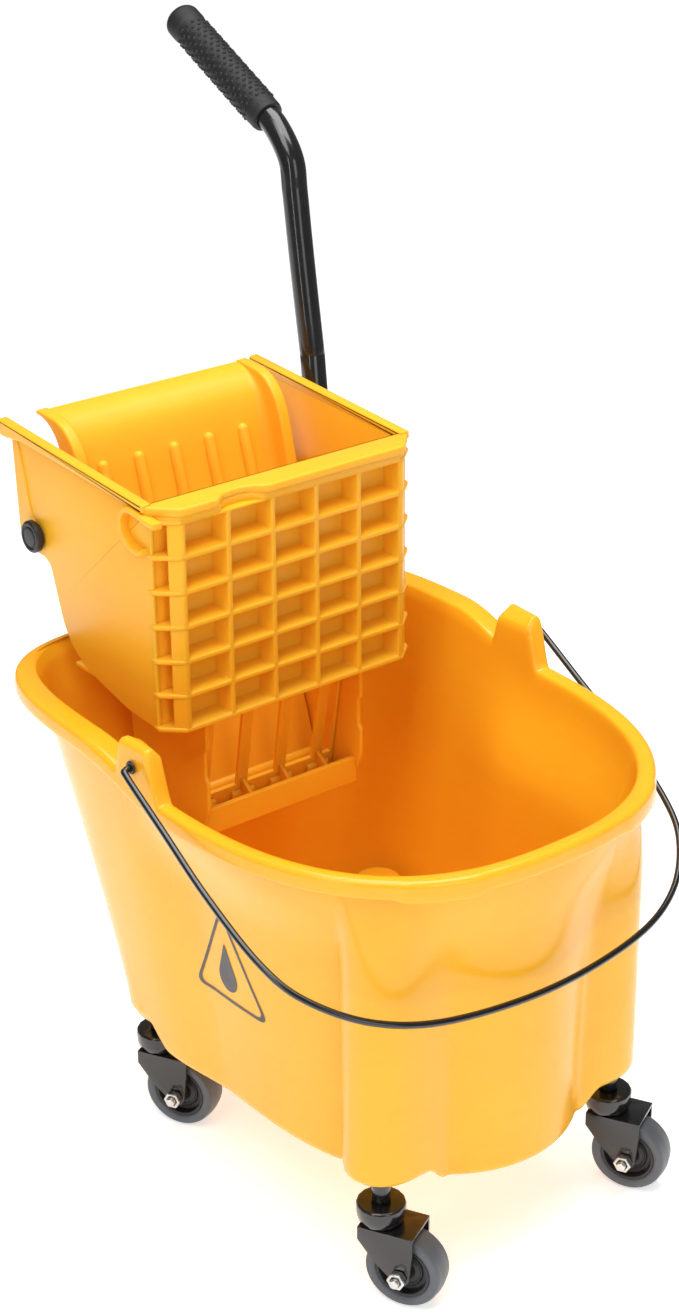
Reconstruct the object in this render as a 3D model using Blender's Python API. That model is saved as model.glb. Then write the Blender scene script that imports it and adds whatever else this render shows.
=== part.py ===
"""Side-press mop bucket: a wheeled plastic bucket, a lift-off wringer, a bail and a press lever.

Blender 4.5, metres, +Z up, +X to the bucket's right, +Y towards the wringer end.
The bucket frame has its origin midway between the four caster stems, DESIGN_FLOOR_Z below the floor.
The root empty then moves that frame so that the whole assembly stands centred on the world origin.
"""
import math

import bmesh
import bpy
from mathutils import Matrix, Vector

# ---------------------------------------------------------------- driving dimensions
ASSEMBLY_SHIFT_Y = -0.1387        # brings the middle of the overall length, grip end to front, to the origin
DESIGN_FLOOR_Z = 0.0165           # height of the floor in the bucket frame
FIT_GAP = 0.0004                  # clearance kept between touching pieces

# bucket shell
WALL = 0.0035
PLAN_CENTRE_Y = 0.030             # the outlines are drawn in polar form about this point
BELLY_Z = 0.108                   # underside of the belly
CORNER_Z = 0.124                  # underside of the raised caster corners
RIM_FRONT_Z = 0.396
RIM_REAR_RISE = 0.024
LIP_DROP = 0.014                  # height of the skirt around the rim
CORNER_LOBE_X = 0.112            # upright rounded lobes over the casters
CORNER_LOBE_Y = 0.142
CORNER_LOBE_RADIUS = 0.029
INNER_LOBES_X = (0.098, 0.084)   # the front ones are stretched inwards to here
FRONT_LOBE_Y = -0.092            # the broad lobe in the middle of the front
FRONT_LOBE_RADIUS = 0.100
WALL_BLEND = 0.004               # how softly the lobes run into the wall
RIM_OVERHANG = 0.0125            # how far the rim stands out past the wall, round the front
THROAT_HEIGHT = 0.095            # the front wall curves out over this height to meet the rim
RING_POINTS = 72

# casters
STEM_X = 0.118
STEM_Y = 0.150
CASTER_HEADING = math.radians(-62.0)
CASTER_TRAIL = 0.022
WHEEL_RADIUS = 0.0318
TYRE_WIDTH = 0.024
FORK_INSIDE = 0.0150              # half the space between the fork legs
FORK_STEEL = 0.0025
FORK_TOP_Z = 0.0855
CUP_TOP_Z = 0.1025
STEM_RADIUS = 0.0055
SOCKET_RADIUS = 0.008
SOCKET_TOP_Z = 0.163

# bail
BAIL_PIVOT_Y = 0.0475
BAIL_PIVOT_Z = 0.419
BAIL_DROOP = math.radians(29.5)   # angle of the resting bail below the horizontal
BAIL_WIRE = 0.00275
BAIL_HALF_WIDTH = 0.2065

# wringer
WRINGER_HALF = 0.125
SIDE_WALL = 0.0035
CHAMBER_FRONT_Y = 0.1265          # rear face of the cell wall, where the mop is pressed
CELL_SIDE_Y = 0.1195              # the slanted side of the cell wall meets the side wall here
CELL_FACE_Y = 0.105
CELL_FACE_HALF = 0.108
CELL_COLUMNS = 5
CELL_ROWS = 6
CELL_PITCH_X = 0.042
CELL_PITCH_Z = 0.0297
CELL_RIB = 0.0045
CELLS_BOTTOM_Z = 0.397
WRINGER_TOP_Z = 0.586
WRINGER_REAR_RISE = 0.012
BOX_HALF = 0.080                  # half width of the lower box

# press mechanism: the plate turns about the hinge pin, driven by two gear sectors on the lever axle
HINGE_Y = 0.182
HINGE_Z = 0.290
AXLE_Y = 0.289
AXLE_Z = 0.509
GEAR_RATIO = 0.24
GEAR_TEETH_FULL = 24
RACK_TEETH_FULL = 100
LEVER_TRAVEL = 75.0
PLATE_LEAN = math.radians(18.6)   # lean of the resting plate from the vertical
PLATE_THICK = 0.004
PLATE_HALF = 0.105
GEAR_X = 0.055
GEAR_WIDTH = 0.012
AXLE_RADIUS = 0.007

# lever
LEVER_X = 0.165
TUBE_RADIUS = 0.011
TUBE_WALL = 0.0015
TUBE_STUB_RADIUS = 0.0092         # swaged lower end that enters the socket
GRIP_LENGTH = 0.143
GRIP_RADIUS = 0.0160

CENTRE_DISTANCE = math.hypot(AXLE_Y - HINGE_Y, AXLE_Z - HINGE_Z)
GEAR_RADIUS = CENTRE_DISTANCE * GEAR_RATIO / (1 + GEAR_RATIO)
RACK_RADIUS = CENTRE_DISTANCE - GEAR_RADIUS
MESH_ANGLE = math.atan2(AXLE_Y - HINGE_Y, AXLE_Z - HINGE_Z)
TOOTH_MODULE = 2 * GEAR_RADIUS / GEAR_TEETH_FULL


# ---------------------------------------------------------------- small tools
def mix(a, b, t):
    return a + (b - a) * t


def smoothstep(low, high, value):
    t = min(max((value - low) / (high - low), 0.0), 1.0)
    return t * t * (3 - 2 * t)


def make_material(name, colour, roughness, metallic=0.0):
    material = bpy.data.materials.new(name)
    material.use_nodes = True
    shader = material.node_tree.nodes["Principled BSDF"]
    shader.inputs["Base Color"].default_value = (*colour, 1.0)
    shader.inputs["Roughness"].default_value = roughness
    shader.inputs["Metallic"].default_value = metallic
    return material


def make_body(name, parent, pivot, heading=0.0):
    """Empty on a joint's axis; pivot is given in the parent's own frame."""
    body = bpy.data.objects.new(name, None)
    bpy.context.collection.objects.link(body)
    body.parent = parent
    body.location = pivot
    body.rotation_euler = (0, 0, heading)
    return body


def link_mesh(name, bm, body, frame_origin):
    bmesh.ops.recalc_face_normals(bm, faces=bm.faces)
    mesh = bpy.data.meshes.new(name)
    bm.to_mesh(mesh)
    bm.free()
    mesh.transform(Matrix.Translation(-Vector(frame_origin)))
    piece = bpy.data.objects.new(name, mesh)
    bpy.context.collection.objects.link(piece)
    piece.parent = body
    return piece


def add_piece(name, bm, material, body, frame_origin=(0, 0, 0)):
    """Named piece; its mesh is drawn in a frame whose origin the body's empty sits at."""
    piece = link_mesh(name, bm, body, frame_origin)
    piece.data.materials.append(material)
    piece.data.shade_smooth()
    piece.data.set_sharp_from_angle(angle=math.radians(35))
    return piece


def combine(piece, bm, operation, frame_origin=(0, 0, 0)):
    """Boolean of the piece with a hidden helper shape drawn in the same frame."""
    helper = link_mesh(piece.name + "_" + operation.lower(), bm, piece.parent, frame_origin)
    helper.hide_render = True
    helper.display_type = "WIRE"
    modifier = piece.modifiers.new(operation.title(), "BOOLEAN")
    modifier.operation = operation
    modifier.object = helper


def merged(*shapes):
    """One bmesh holding separate, non-overlapping shapes."""
    result = bmesh.new()
    for shape in shapes:
        mesh = bpy.data.meshes.new("shape")
        shape.to_mesh(mesh)
        shape.free()
        result.from_mesh(mesh)
        bpy.data.meshes.remove(mesh)
    return result


def box(x, y, z):
    bm = bmesh.new()
    bmesh.ops.create_cube(bm, size=1.0)
    size = Vector((x[1] - x[0], y[1] - y[0], z[1] - z[0]))
    centre = Vector((x[0] + x[1], y[0] + y[1], z[0] + z[1])) / 2
    bmesh.ops.scale(bm, vec=size, verts=bm.verts)
    bmesh.ops.translate(bm, vec=centre, verts=bm.verts)
    return bm


def prism(points, direction):
    """Flat outline of 3-D points pushed along a direction."""
    bm = bmesh.new()
    face = bm.faces.new([bm.verts.new(p) for p in points])
    pushed = bmesh.ops.extrude_face_region(bm, geom=[face])["geom"]
    moved = [item for item in pushed if isinstance(item, bmesh.types.BMVert)]
    bmesh.ops.translate(bm, vec=Vector(direction), verts=moved)
    return bm


def prism_x(outline, x):
    """Outline of (y, z) points between two x planes."""
    return prism([(x[0], py, pz) for py, pz in outline], (x[1] - x[0], 0, 0))


def prism_z(outline, z):
    """Outline of (x, y) points between two heights."""
    return prism([(px, py, z[0]) for px, py in outline], (0, 0, z[1] - z[0]))


def turned(profile, segments, place=Matrix.Identity(4)):
    """Closed (radius, height) profile turned about local Z; points on the axis become single vertices."""
    bm = bmesh.new()
    rings = []
    for radius, height in profile:
        if radius < 1e-6:
            rings.append([bm.verts.new((0, 0, height))])
            continue
        turns = [2 * math.pi * i / segments for i in range(segments)]
        rings.append([bm.verts.new((radius * math.cos(a), radius * math.sin(a), height)) for a in turns])
    for ring, following in zip(rings, rings[1:] + rings[:1]):
        skin(bm, ring, following)
    bm.transform(place)
    return bm


def skin(bm, ring, following):
    """Faces between two rings of vertices, either of which may be one point."""
    if len(ring) == 1 and len(following) == 1:
        return
    count = max(len(ring), len(following))
    for i in range(count):
        j = (i + 1) % count
        corners = [ring[i % len(ring)], ring[j % len(ring)]]
        corners += [following[j % len(following)], following[i % len(following)]]
        distinct = list(dict.fromkeys(corners))
        bm.faces.new(distinct)


def loft(rings):
    """Solid through rings of points, closed by a fan at each end."""
    bm = bmesh.new()
    loops = [[bm.verts.new(p) for p in ring] for ring in rings]
    for ring, following in zip(loops, loops[1:]):
        skin(bm, ring, following)
    for ring in (loops[0], loops[-1]):
        centre = sum((v.co for v in ring), Vector()) / len(ring)
        skin(bm, ring, [bm.verts.new(centre)])
    return bm


def along(start, direction):
    """Frame at a point whose Z axis is the direction."""
    turn = Vector(direction).to_track_quat("Z", "Y").to_matrix().to_4x4()
    return Matrix.Translation(Vector(start)) @ turn


def rod(start, end, radius, segments=20):
    length = (Vector(end) - Vector(start)).length
    profile = [(0, 0), (radius, 0), (radius, length), (0, length)]
    return turned(profile, segments, along(start, Vector(end) - Vector(start)))


def sleeve(start, end, inner, outer, segments=20):
    length = (Vector(end) - Vector(start)).length
    profile = [(inner, 0), (outer, 0), (outer, length), (inner, length)]
    return turned(profile, segments, along(start, Vector(end) - Vector(start)))


def hexagon(start, end, across_flats, bore):
    """Six-sided nut; its bore is six-sided too, and clears a bolt of the given radius."""
    length = (Vector(end) - Vector(start)).length
    outer, inner = (radius / math.cos(math.pi / 6) for radius in (across_flats / 2, bore))
    place = along(start, Vector(end) - Vector(start))
    profile = [(inner, 0), (outer, 0), (outer, length), (inner, length)]
    return turned(profile, 6, place)


def smooth_path(points, per_span):
    """Catmull-Rom curve through the points."""
    padded = [2 * points[0] - points[1]] + points + [2 * points[-1] - points[-2]]
    path = []
    for a, b, c, d in zip(padded, padded[1:], padded[2:], padded[3:]):
        for i in range(per_span):
            t = i / per_span
            path.append(0.5 * (2 * b + (c - a) * t + (2 * a - 5 * b + 4 * c - d) * t * t
                               + (3 * b - a - 3 * c + d) * t ** 3))
    return path + [points[-1]]


def swept(path, outer, inner, segments):
    """Round bar or tube along a path; outer is a radius for each point, inner is zero for a bar."""
    tangents = [(b - a).normalized() for a, b in zip([path[0]] + path[:-1], path[1:] + [path[-1]])]
    side = tangents[0].orthogonal().normalized()
    rings_out, rings_in = [], []
    for point, tangent, radius in zip(path, tangents, outer):
        side = (side - tangent * side.dot(tangent)).normalized()
        other = tangent.cross(side)
        turns = [2 * math.pi * i / segments for i in range(segments)]
        spokes = [side * math.cos(a) + other * math.sin(a) for a in turns]
        rings_out.append([point + spoke * radius for spoke in spokes])
        rings_in.append([point + spoke * inner for spoke in spokes])
    if inner == 0:
        return loft(rings_out)
    bm = bmesh.new()
    loops = [[bm.verts.new(p) for p in ring] for ring in rings_out + rings_in[::-1]]
    for ring, following in zip(loops, loops[1:] + loops[:1]):
        skin(bm, ring, following)
    return bm


# ---------------------------------------------------------------- bucket outline
def superellipse(phi, half_x, half_y, power):
    """Distance from the plan centre to a superellipse; phi runs from the front towards +X."""
    across = (abs(math.sin(phi)) / half_x) ** power
    length = (abs(math.cos(phi)) / half_y) ** power
    return (across + length) ** (-1 / power)


def circle_reach(phi, x, y, radius):
    """Distance from the plan centre to the far side of a circle, or zero where the ray misses it."""
    distance = math.hypot(x, y - PLAN_CENTRE_Y)
    off_axis = phi - math.atan2(x, PLAN_CENTRE_Y - y)
    across = distance * math.sin(off_axis)
    if abs(across) >= radius or math.cos(off_axis) < 0:
        return 0.0
    return distance * math.cos(off_axis) + math.sqrt(radius ** 2 - across ** 2)


def rear_share(phi):
    """0 along the round front of the bucket, 1 along the squarer wringer end."""
    return smoothstep(-0.05, 0.45, -math.cos(phi))


def rim_z(phi):
    return RIM_FRONT_Z + RIM_REAR_RISE * rear_share(phi)


def soft_max(values, softness):
    top = max(values)
    return top + softness * math.log(sum(math.exp((v - top) / softness) for v in values))


def wall_reach(phi, z):
    """Outer surface of the side wall: a flared cone with upright lobes standing out of it."""
    rise = (z - BELLY_Z) / (RIM_FRONT_Z - BELLY_Z)
    share = rear_share(phi)
    foot = mix(superellipse(phi, 0.134, 0.197, 3.0), superellipse(phi, 0.142, 0.154, 6.0), share)
    top = mix(superellipse(phi, 0.1650, 0.220, 2.6), superellipse(phi, 0.1790, 0.245, 5.0), share)
    cone = mix(foot, top, rise)
    front_lobe = circle_reach(phi, 0, FRONT_LOBE_Y, FRONT_LOBE_RADIUS)
    corner = [circle_reach(phi, sx * CORNER_LOBE_X, sy * CORNER_LOBE_Y, CORNER_LOBE_RADIUS)
              for sx in (-1, 1) for sy in (-1, 1)]
    corner += [circle_reach(phi, sx * x, -CORNER_LOBE_Y, CORNER_LOBE_RADIUS) for sx in (-1, 1) for x in INNER_LOBES_X]
    below_rim = soft_max([cone, front_lobe] + corner, WALL_BLEND)
    throat = (1 - share) * smoothstep(RIM_FRONT_Z - THROAT_HEIGHT, RIM_FRONT_Z, z)
    return mix(below_rim, lip_reach(phi) - RIM_OVERHANG, throat)


def lip_reach(phi):
    front = superellipse(phi, 0.1965, 0.2440, 2.5)
    rear = superellipse(phi, 0.2020, 0.255, 5.0)
    return mix(front, rear, rear_share(phi))


def underside_z(x, y):
    nearest = min(math.hypot(x - sx * STEM_X, y - sy * STEM_Y) for sx in (-1, 1) for sy in (-1, 1))
    return mix(CORNER_Z, BELLY_Z, smoothstep(0.036, 0.052, nearest))


def plan_ring(reach, height):
    """Ring of points; reach and height are functions of the angle, or of the point for the height."""
    ring = []
    for i in range(RING_POINTS):
        phi = 2 * math.pi * (i + 0.5) / RING_POINTS
        distance = reach(phi)
        x = distance * math.sin(phi)
        y = PLAN_CENTRE_Y - distance * math.cos(phi)
        ring.append(Vector((x, y, height(phi, x, y))))
    return ring


def wall_rings(inset, foot_lift, top_drop, levels):
    """Rings up the side wall, from just above the underside to just below the rim."""
    rings = []
    for level in range(levels + 1):
        share = level / levels

        def height(phi, x=None, y=None):
            foot_x = wall_reach(phi, BELLY_Z) * math.sin(phi)
            foot_y = PLAN_CENTRE_Y - wall_reach(phi, BELLY_Z) * math.cos(phi)
            return mix(underside_z(foot_x, foot_y) + foot_lift, rim_z(phi) - top_drop, share)

        rings.append(plan_ring(lambda phi: wall_reach(phi, height(phi)) - inset, height))
    return rings


def floor_rings(inset, lift):
    """Rings across the bottom, from the side wall inwards."""
    rings = []
    for share in (1.0, 0.88, 0.74, 0.5):
        rings.append(plan_ring(lambda phi: (wall_reach(phi, BELLY_Z) - 0.006 - inset) * share,
                               lambda phi, x, y: underside_z(x, y) + lift))
    return rings


def build_bucket(plastic, body):
    edge = 0.0035
    underside = floor_rings(0.0, 0.0)[::-1]
    outside = wall_rings(0.0, 0.006, WALL, 7)
    lip = [
        plan_ring(lambda phi: lip_reach(phi) - 0.003, lambda phi, x, y: rim_z(phi) - WALL),
        plan_ring(lambda phi: lip_reach(phi) - 0.003, lambda phi, x, y: rim_z(phi) - LIP_DROP),
        plan_ring(lip_reach, lambda phi, x, y: rim_z(phi) - LIP_DROP),
        plan_ring(lip_reach, lambda phi, x, y: rim_z(phi) - edge),
        plan_ring(lambda phi: lip_reach(phi) - edge, lambda phi, x, y: rim_z(phi)),
        plan_ring(lambda phi: wall_reach(phi, rim_z(phi)) - WALL + 0.002, lambda phi, x, y: rim_z(phi)),
    ]
    inside = wall_rings(WALL, 0.006 + WALL, 0.003, 7)[::-1]
    floor = floor_rings(WALL, WALL)
    bucket = add_piece("bucket_body", loft(underside + outside + lip + inside + floor), plastic, body)

    stems = [(sx * STEM_X, sy * STEM_Y) for sx in (-1, 1) for sy in (-1, 1)]
    posts = [rod((x, y, CORNER_Z + 0.002), (x, y, SOCKET_TOP_Z + 0.005), 0.0125, 16) for x, y in stems]
    bores = [rod((x, y, CORNER_Z - 0.02), (x, y, SOCKET_TOP_Z + 0.001), SOCKET_RADIUS + FIT_GAP, 16)
             for x, y in stems]
    combine(bucket, merged(*posts), "UNION")
    combine(bucket, merged(*bores), "DIFFERENCE")

    lugs, holes = [], []
    for side in (-1, 1):
        foot_z = RIM_FRONT_Z - 0.002
        foot = [(side * x, y, foot_z) for x, y in ((0.176, 0.020), (0.1995, 0.020), (0.1995, 0.072), (0.176, 0.072))]
        top_z = 0.437
        top = [(side * x, y, top_z) for x, y in ((0.182, 0.034), (0.1980, 0.034), (0.1980, 0.062), (0.182, 0.062))]
        lugs.append(loft([[Vector(p) for p in foot], [Vector(p) for p in top]]))
        holes.append(rod((side * 0.168, BAIL_PIVOT_Y, BAIL_PIVOT_Z), (side * 0.210, BAIL_PIVOT_Y, BAIL_PIVOT_Z),
                         BAIL_WIRE + 0.001, 12))
    combine(bucket, merged(*lugs), "UNION")
    combine(bucket, merged(*holes), "DIFFERENCE")


# ---------------------------------------------------------------- casters
def build_caster(tag, side_x, side_y, materials, bucket):
    """One swivel caster; the swivel frame has +X along the trail and +Y along the wheel axle."""
    stem = Vector((side_x * STEM_X, side_y * STEM_Y, 0))
    socket = sleeve(stem + Vector((0, 0, CORNER_Z + FIT_GAP)), stem + Vector((0, 0, SOCKET_TOP_Z)),
                    STEM_RADIUS + FIT_GAP, SOCKET_RADIUS, 16)
    add_piece("caster_socket_" + tag, socket, materials["nylon"], bucket)

    head_top = FORK_TOP_Z - FORK_STEEL - FIT_GAP
    collar = 0.0073
    profile = [(0, head_top - 0.0035), (0.0078, head_top - 0.0035), (0.0078, head_top), (STEM_RADIUS, head_top),
               (STEM_RADIUS, CUP_TOP_Z + FIT_GAP), (collar, CUP_TOP_Z + FIT_GAP), (collar, CORNER_Z - FIT_GAP),
               (STEM_RADIUS, CORNER_Z - FIT_GAP), (STEM_RADIUS, SOCKET_TOP_Z - 0.001), (0, SOCKET_TOP_Z - 0.001)]
    add_piece("caster_stem_" + tag, turned(profile, 16, Matrix.Translation(stem)), materials["black_steel"], bucket)

    swivel = make_body("swivel_" + tag, bucket, stem, CASTER_HEADING)
    cup = [(STEM_RADIUS + FIT_GAP, FORK_TOP_Z + FIT_GAP), (0.0175, FORK_TOP_Z + FIT_GAP), (0.0195, 0.0925),
           (0.0195, CUP_TOP_Z - 0.0015), (0.018, CUP_TOP_Z), (STEM_RADIUS + FIT_GAP, CUP_TOP_Z)]
    add_piece("caster_cup_" + tag, turned(cup, 16), materials["black_steel"], swivel)
    build_fork("caster_fork_" + tag, materials["black_steel"], swivel)

    outside = FORK_INSIDE + FORK_STEEL + FIT_GAP
    axle = (CASTER_TRAIL, DESIGN_FLOOR_Z + WHEEL_RADIUS)
    bolt = turned([(0, -outside - 0.010), (0.0038, -outside - 0.010), (0.0038, outside), (0.0068, outside),
                   (0.0068, outside + 0.0045), (0, outside + 0.0045)], 12,
                  along((axle[0], 0, axle[1]), (0, 1, 0)))
    add_piece("wheel_bolt_" + tag, bolt, materials["zinc"], swivel)
    nut = hexagon((axle[0], -outside - 0.0065, axle[1]), (axle[0], -outside, axle[1]), 0.013, 0.0038 + FIT_GAP)
    add_piece("wheel_nut_" + tag, nut, materials["zinc"], swivel)

    wheel = make_body("wheel_" + tag, swivel, (axle[0], 0, axle[1]))
    turn = along((0, 0, 0), (0, 1, 0))
    hub_edge, half_hub, boss = 0.0222, 0.0110, 0.0142
    hub = [(0.0043, -boss), (0.0085, -boss), (0.0095, -0.0055), (0.0195, -0.0055), (0.0200, -half_hub),
           (hub_edge, -half_hub), (hub_edge, half_hub), (0.0200, half_hub), (0.0195, 0.0055), (0.0095, 0.0055),
           (0.0085, boss), (0.0043, boss)]
    add_piece("wheel_hub_" + tag, turned(hub, 16, turn), materials["black_plastic"], wheel)
    half = TYRE_WIDTH / 2
    shoulder = WHEEL_RADIUS - 0.0024
    tyre = [(hub_edge + FIT_GAP, -half + 0.001), (0.0262, -half), (shoulder, -half + 0.003), (WHEEL_RADIUS, -0.004),
            (WHEEL_RADIUS, 0.004), (shoulder, half - 0.003), (0.0262, half), (hub_edge + FIT_GAP, half - 0.001)]
    add_piece("wheel_tyre_" + tag, turned(tyre, 24, turn), materials["tyre"], wheel)


def build_fork(name, steel, swivel):
    """Pressed steel fork: a top plate folded down into two tapered legs."""
    outside = FORK_INSIDE + FORK_STEEL
    rear_x, front_x = -0.0125, 0.0330
    axle_z = DESIGN_FLOOR_Z + WHEEL_RADIUS
    leg = [(rear_x, FORK_TOP_Z), (rear_x, 0.074), (0.000, 0.058)]
    for i in range(6):
        angle = math.radians(mix(200, 350, i / 5))
        leg.append((CASTER_TRAIL + 0.0085 * math.cos(angle), axle_z + 0.0085 * math.sin(angle)))
    leg += [(front_x, 0.072), (front_x, FORK_TOP_Z)]
    blank = prism([(x, -outside, z) for x, z in leg], (0, 2 * outside, 0))
    fork = add_piece(name, blank, steel, swivel)
    room = box((rear_x - 0.01, front_x + 0.02), (-FORK_INSIDE, FORK_INSIDE), (0.0, FORK_TOP_Z - FORK_STEEL))
    combine(fork, room, "DIFFERENCE")
    axle_hole = rod((CASTER_TRAIL, -0.03, axle_z), (CASTER_TRAIL, 0.03, axle_z), 0.0038 + FIT_GAP, 12)
    stem_hole = rod((0, 0, FORK_TOP_Z - 0.01), (0, 0, FORK_TOP_Z + 0.01), STEM_RADIUS + FIT_GAP, 16)
    combine(fork, merged(axle_hole, stem_hole), "DIFFERENCE")


# ---------------------------------------------------------------- bail
def build_bail(steel, bucket):
    """Wire bail hinged in the two lugs and resting against the front of the bucket."""
    pivot = Vector((0, BAIL_PIVOT_Y, BAIL_PIVOT_Z))
    forward = Vector((0, -math.cos(BAIL_DROOP), -math.sin(BAIL_DROOP)))
    bend = 0.006
    half_shape = [(0.184, 0), (BAIL_HALF_WIDTH - bend, 0), (BAIL_HALF_WIDTH, bend), (BAIL_HALF_WIDTH, 0.060),
                  (BAIL_HALF_WIDTH, 0.120), (0.2010, 0.185), (0.1860, 0.225), (0.1480, 0.262), (0.0910, 0.284)]
    left = [pivot + Vector((-x, 0, 0)) + forward * reach for x, reach in half_shape]
    right = [pivot + Vector((x, 0, 0)) + forward * reach for x, reach in half_shape[::-1]]
    middle = [pivot + forward * 0.293]
    path = smooth_path(left + middle + right, 3)
    bail = make_body("bail", bucket, pivot)
    add_piece("bail_handle", swept(path, [BAIL_WIRE] * len(path), 0, 6), steel, bail, pivot)


# ---------------------------------------------------------------- wringer
def wringer_top(y):
    return WRINGER_TOP_Z + WRINGER_REAR_RISE * (y - CELL_FACE_Y) / 0.23


def cell_block():
    """Front wall block whose side faces lean in towards the cell face."""
    plan = [(-CELL_FACE_HALF, CELL_FACE_Y), (CELL_FACE_HALF, CELL_FACE_Y), (WRINGER_HALF, CELL_SIDE_Y),
            (WRINGER_HALF, CHAMBER_FRONT_Y), (-WRINGER_HALF, CHAMBER_FRONT_Y), (-WRINGER_HALF, CELL_SIDE_Y)]
    return prism_z(plan, (CELLS_BOTTOM_Z - CELL_RIB, WRINGER_TOP_Z - 0.003))


def cell_pockets():
    """Open pockets of the cell face and the slots down both sides of it."""
    pockets = []
    depth = (CELL_FACE_Y - 0.01, CHAMBER_FRONT_Y - 0.003)
    for row in range(CELL_ROWS):
        low = CELLS_BOTTOM_Z + row * CELL_PITCH_Z
        heights = (low, low + CELL_PITCH_Z - CELL_RIB)
        for column in range(CELL_COLUMNS):
            middle = (column - (CELL_COLUMNS - 1) / 2) * CELL_PITCH_X
            half = (CELL_PITCH_X - CELL_RIB) / 2
            pockets.append(box((middle - half, middle + half), depth, heights))
        for side in (-1, 1):
            slot = sorted((side * (CELL_FACE_HALF + 0.010), side * (WRINGER_HALF + 0.01)))
            pockets.append(box(slot, (CELL_FACE_Y + 0.004, CHAMBER_FRONT_Y - 0.003), heights))
    return merged(*pockets)


def build_wringer_frame(plastic, wringer):
    frame = add_piece("wringer_frame", cell_block(), plastic, wringer)
    combine(frame, cell_pockets(), "DIFFERENCE")

    wall_outline = [(CHAMBER_FRONT_Y - 0.002, 0.411), (0.219, 0.411), (0.241, 0.419), (0.254, 0.430),
                    (0.263, 0.460), (0.272, 0.488), (0.280, 0.4925), (0.298, 0.4925), (0.307, 0.501),
                    (0.326, 0.506), (0.333, wringer_top(0.333)), (CHAMBER_FRONT_Y - 0.002, wringer_top(CHAMBER_FRONT_Y))]
    lip_outline = [(CHAMBER_FRONT_Y - 0.001, wringer_top(CHAMBER_FRONT_Y) + 0.0006),
                   (CHAMBER_FRONT_Y - 0.001, wringer_top(CHAMBER_FRONT_Y) - 0.007),
                   (0.342, wringer_top(0.342) - 0.012), (0.342, wringer_top(0.342) + 0.0006)]
    cheek_outline = [(0.122, CELLS_BOTTOM_Z - 0.002), (0.122, 0.307), (0.140, 0.2825), (0.222, 0.2825),
                     (0.237, 0.400), (0.237, 0.410), (0.1255, 0.410)]
    walls, lips, cheeks = [], [], []
    for side in (-1, 1):
        outer, inner = side * WRINGER_HALF, side * (WRINGER_HALF - SIDE_WALL)
        walls.append(prism_x(wall_outline, (inner, outer)))
        lips.append(prism_x(lip_outline, (side * (WRINGER_HALF - 0.002), side * (WRINGER_HALF + 0.0055))))
        cheeks.append(prism_x(cheek_outline, (side * (BOX_HALF - SIDE_WALL), side * BOX_HALF)))
    combine(frame, merged(*walls), "UNION")
    combine(frame, merged(*lips), "UNION")
    combine(frame, merged(*cheeks), "UNION")

    shelf_z = (0.4075, 0.4112)
    shelves, hooks = [], []
    hook_outline = [(0.2405, 0.4080), (0.2450, 0.4080), (0.2450, 0.4240), (0.2895, 0.4240), (0.2895, 0.4000),
                    (0.2935, 0.4000), (0.2935, 0.4285), (0.2405, 0.4285)]
    for side in (-1, 1):
        across = sorted((side * (BOX_HALF - 0.002), side * (WRINGER_HALF - 0.002)))
        shelves.append(box(across, (CHAMBER_FRONT_Y - 0.002, 0.2440), shelf_z))
        hooks.append(prism_x(hook_outline, (side * 0.0665, side * 0.0930)))
    sill = box((-BOX_HALF + 0.001, BOX_HALF - 0.001), (CHAMBER_FRONT_Y - 0.002, 0.152),
               (CELLS_BOTTOM_Z - CELL_RIB, CELLS_BOTTOM_Z - 0.0005))
    combine(frame, merged(sill, *shelves), "UNION")
    combine(frame, merged(*hooks), "UNION")

    top_plan = [(-CELL_FACE_HALF - 0.002, CELL_FACE_Y - 0.002), (CELL_FACE_HALF + 0.002, CELL_FACE_Y - 0.002),
                (WRINGER_HALF + 0.003, CHAMBER_FRONT_Y + 0.0005), (-WRINGER_HALF - 0.003, CHAMBER_FRONT_Y + 0.0005)]
    combine(frame, prism_z(top_plan, (WRINGER_TOP_Z - 0.0045, WRINGER_TOP_Z)), "UNION")
    notch = [(-0.068, 0.090), (-0.068, 0.106), (-0.062, 0.1125), (-0.048, 0.1145), (-0.036, 0.1115),
             (-0.026, 0.105), (-0.022, 0.090)]
    combine(frame, prism_z(notch, (WRINGER_TOP_Z - 0.0044, WRINGER_TOP_Z + 0.01)), "DIFFERENCE")

    rail_outline = [(0.1290, 0.2825), (0.1720, 0.2825), (0.1720, 0.2860), (0.1330, 0.2860), (0.1330, 0.3050),
                    (0.1290, 0.3050)]
    combine(frame, prism_x(rail_outline, (-BOX_HALF + 0.002, BOX_HALF - 0.002)), "UNION")
    build_wringer_corner_hook(frame)

    holes = []
    for side in (-1, 1):
        holes.append(rod((side * 0.110, AXLE_Y, AXLE_Z), (side * 0.140, AXLE_Y, AXLE_Z), 0.0105 + FIT_GAP, 20))
        holes.append(rod((side * 0.070, HINGE_Y, HINGE_Z), (side * 0.090, HINGE_Y, HINGE_Z), 0.0025 + FIT_GAP, 12))
    combine(frame, merged(*holes), "DIFFERENCE")


def build_wringer_corner_hook(frame):
    """Curved moulded hook standing out of the left wall near the front corner."""
    outer, inner = [], []
    middle, reach, thickness = (0.160, 0.5615), 0.0125, 0.0045
    for i in range(9):
        angle = math.radians(mix(60, 290, i / 8))
        outer.append((middle[0] + reach * 0.9 * math.cos(angle), middle[1] + reach * math.sin(angle)))
        short = reach - thickness
        inner.append((middle[0] + short * 0.9 * math.cos(angle), middle[1] + short * math.sin(angle)))
    outline = outer + inner[::-1]
    combine(frame, prism_x(outline, (-WRINGER_HALF + 0.001, -WRINGER_HALF - 0.007)), "UNION")


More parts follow.
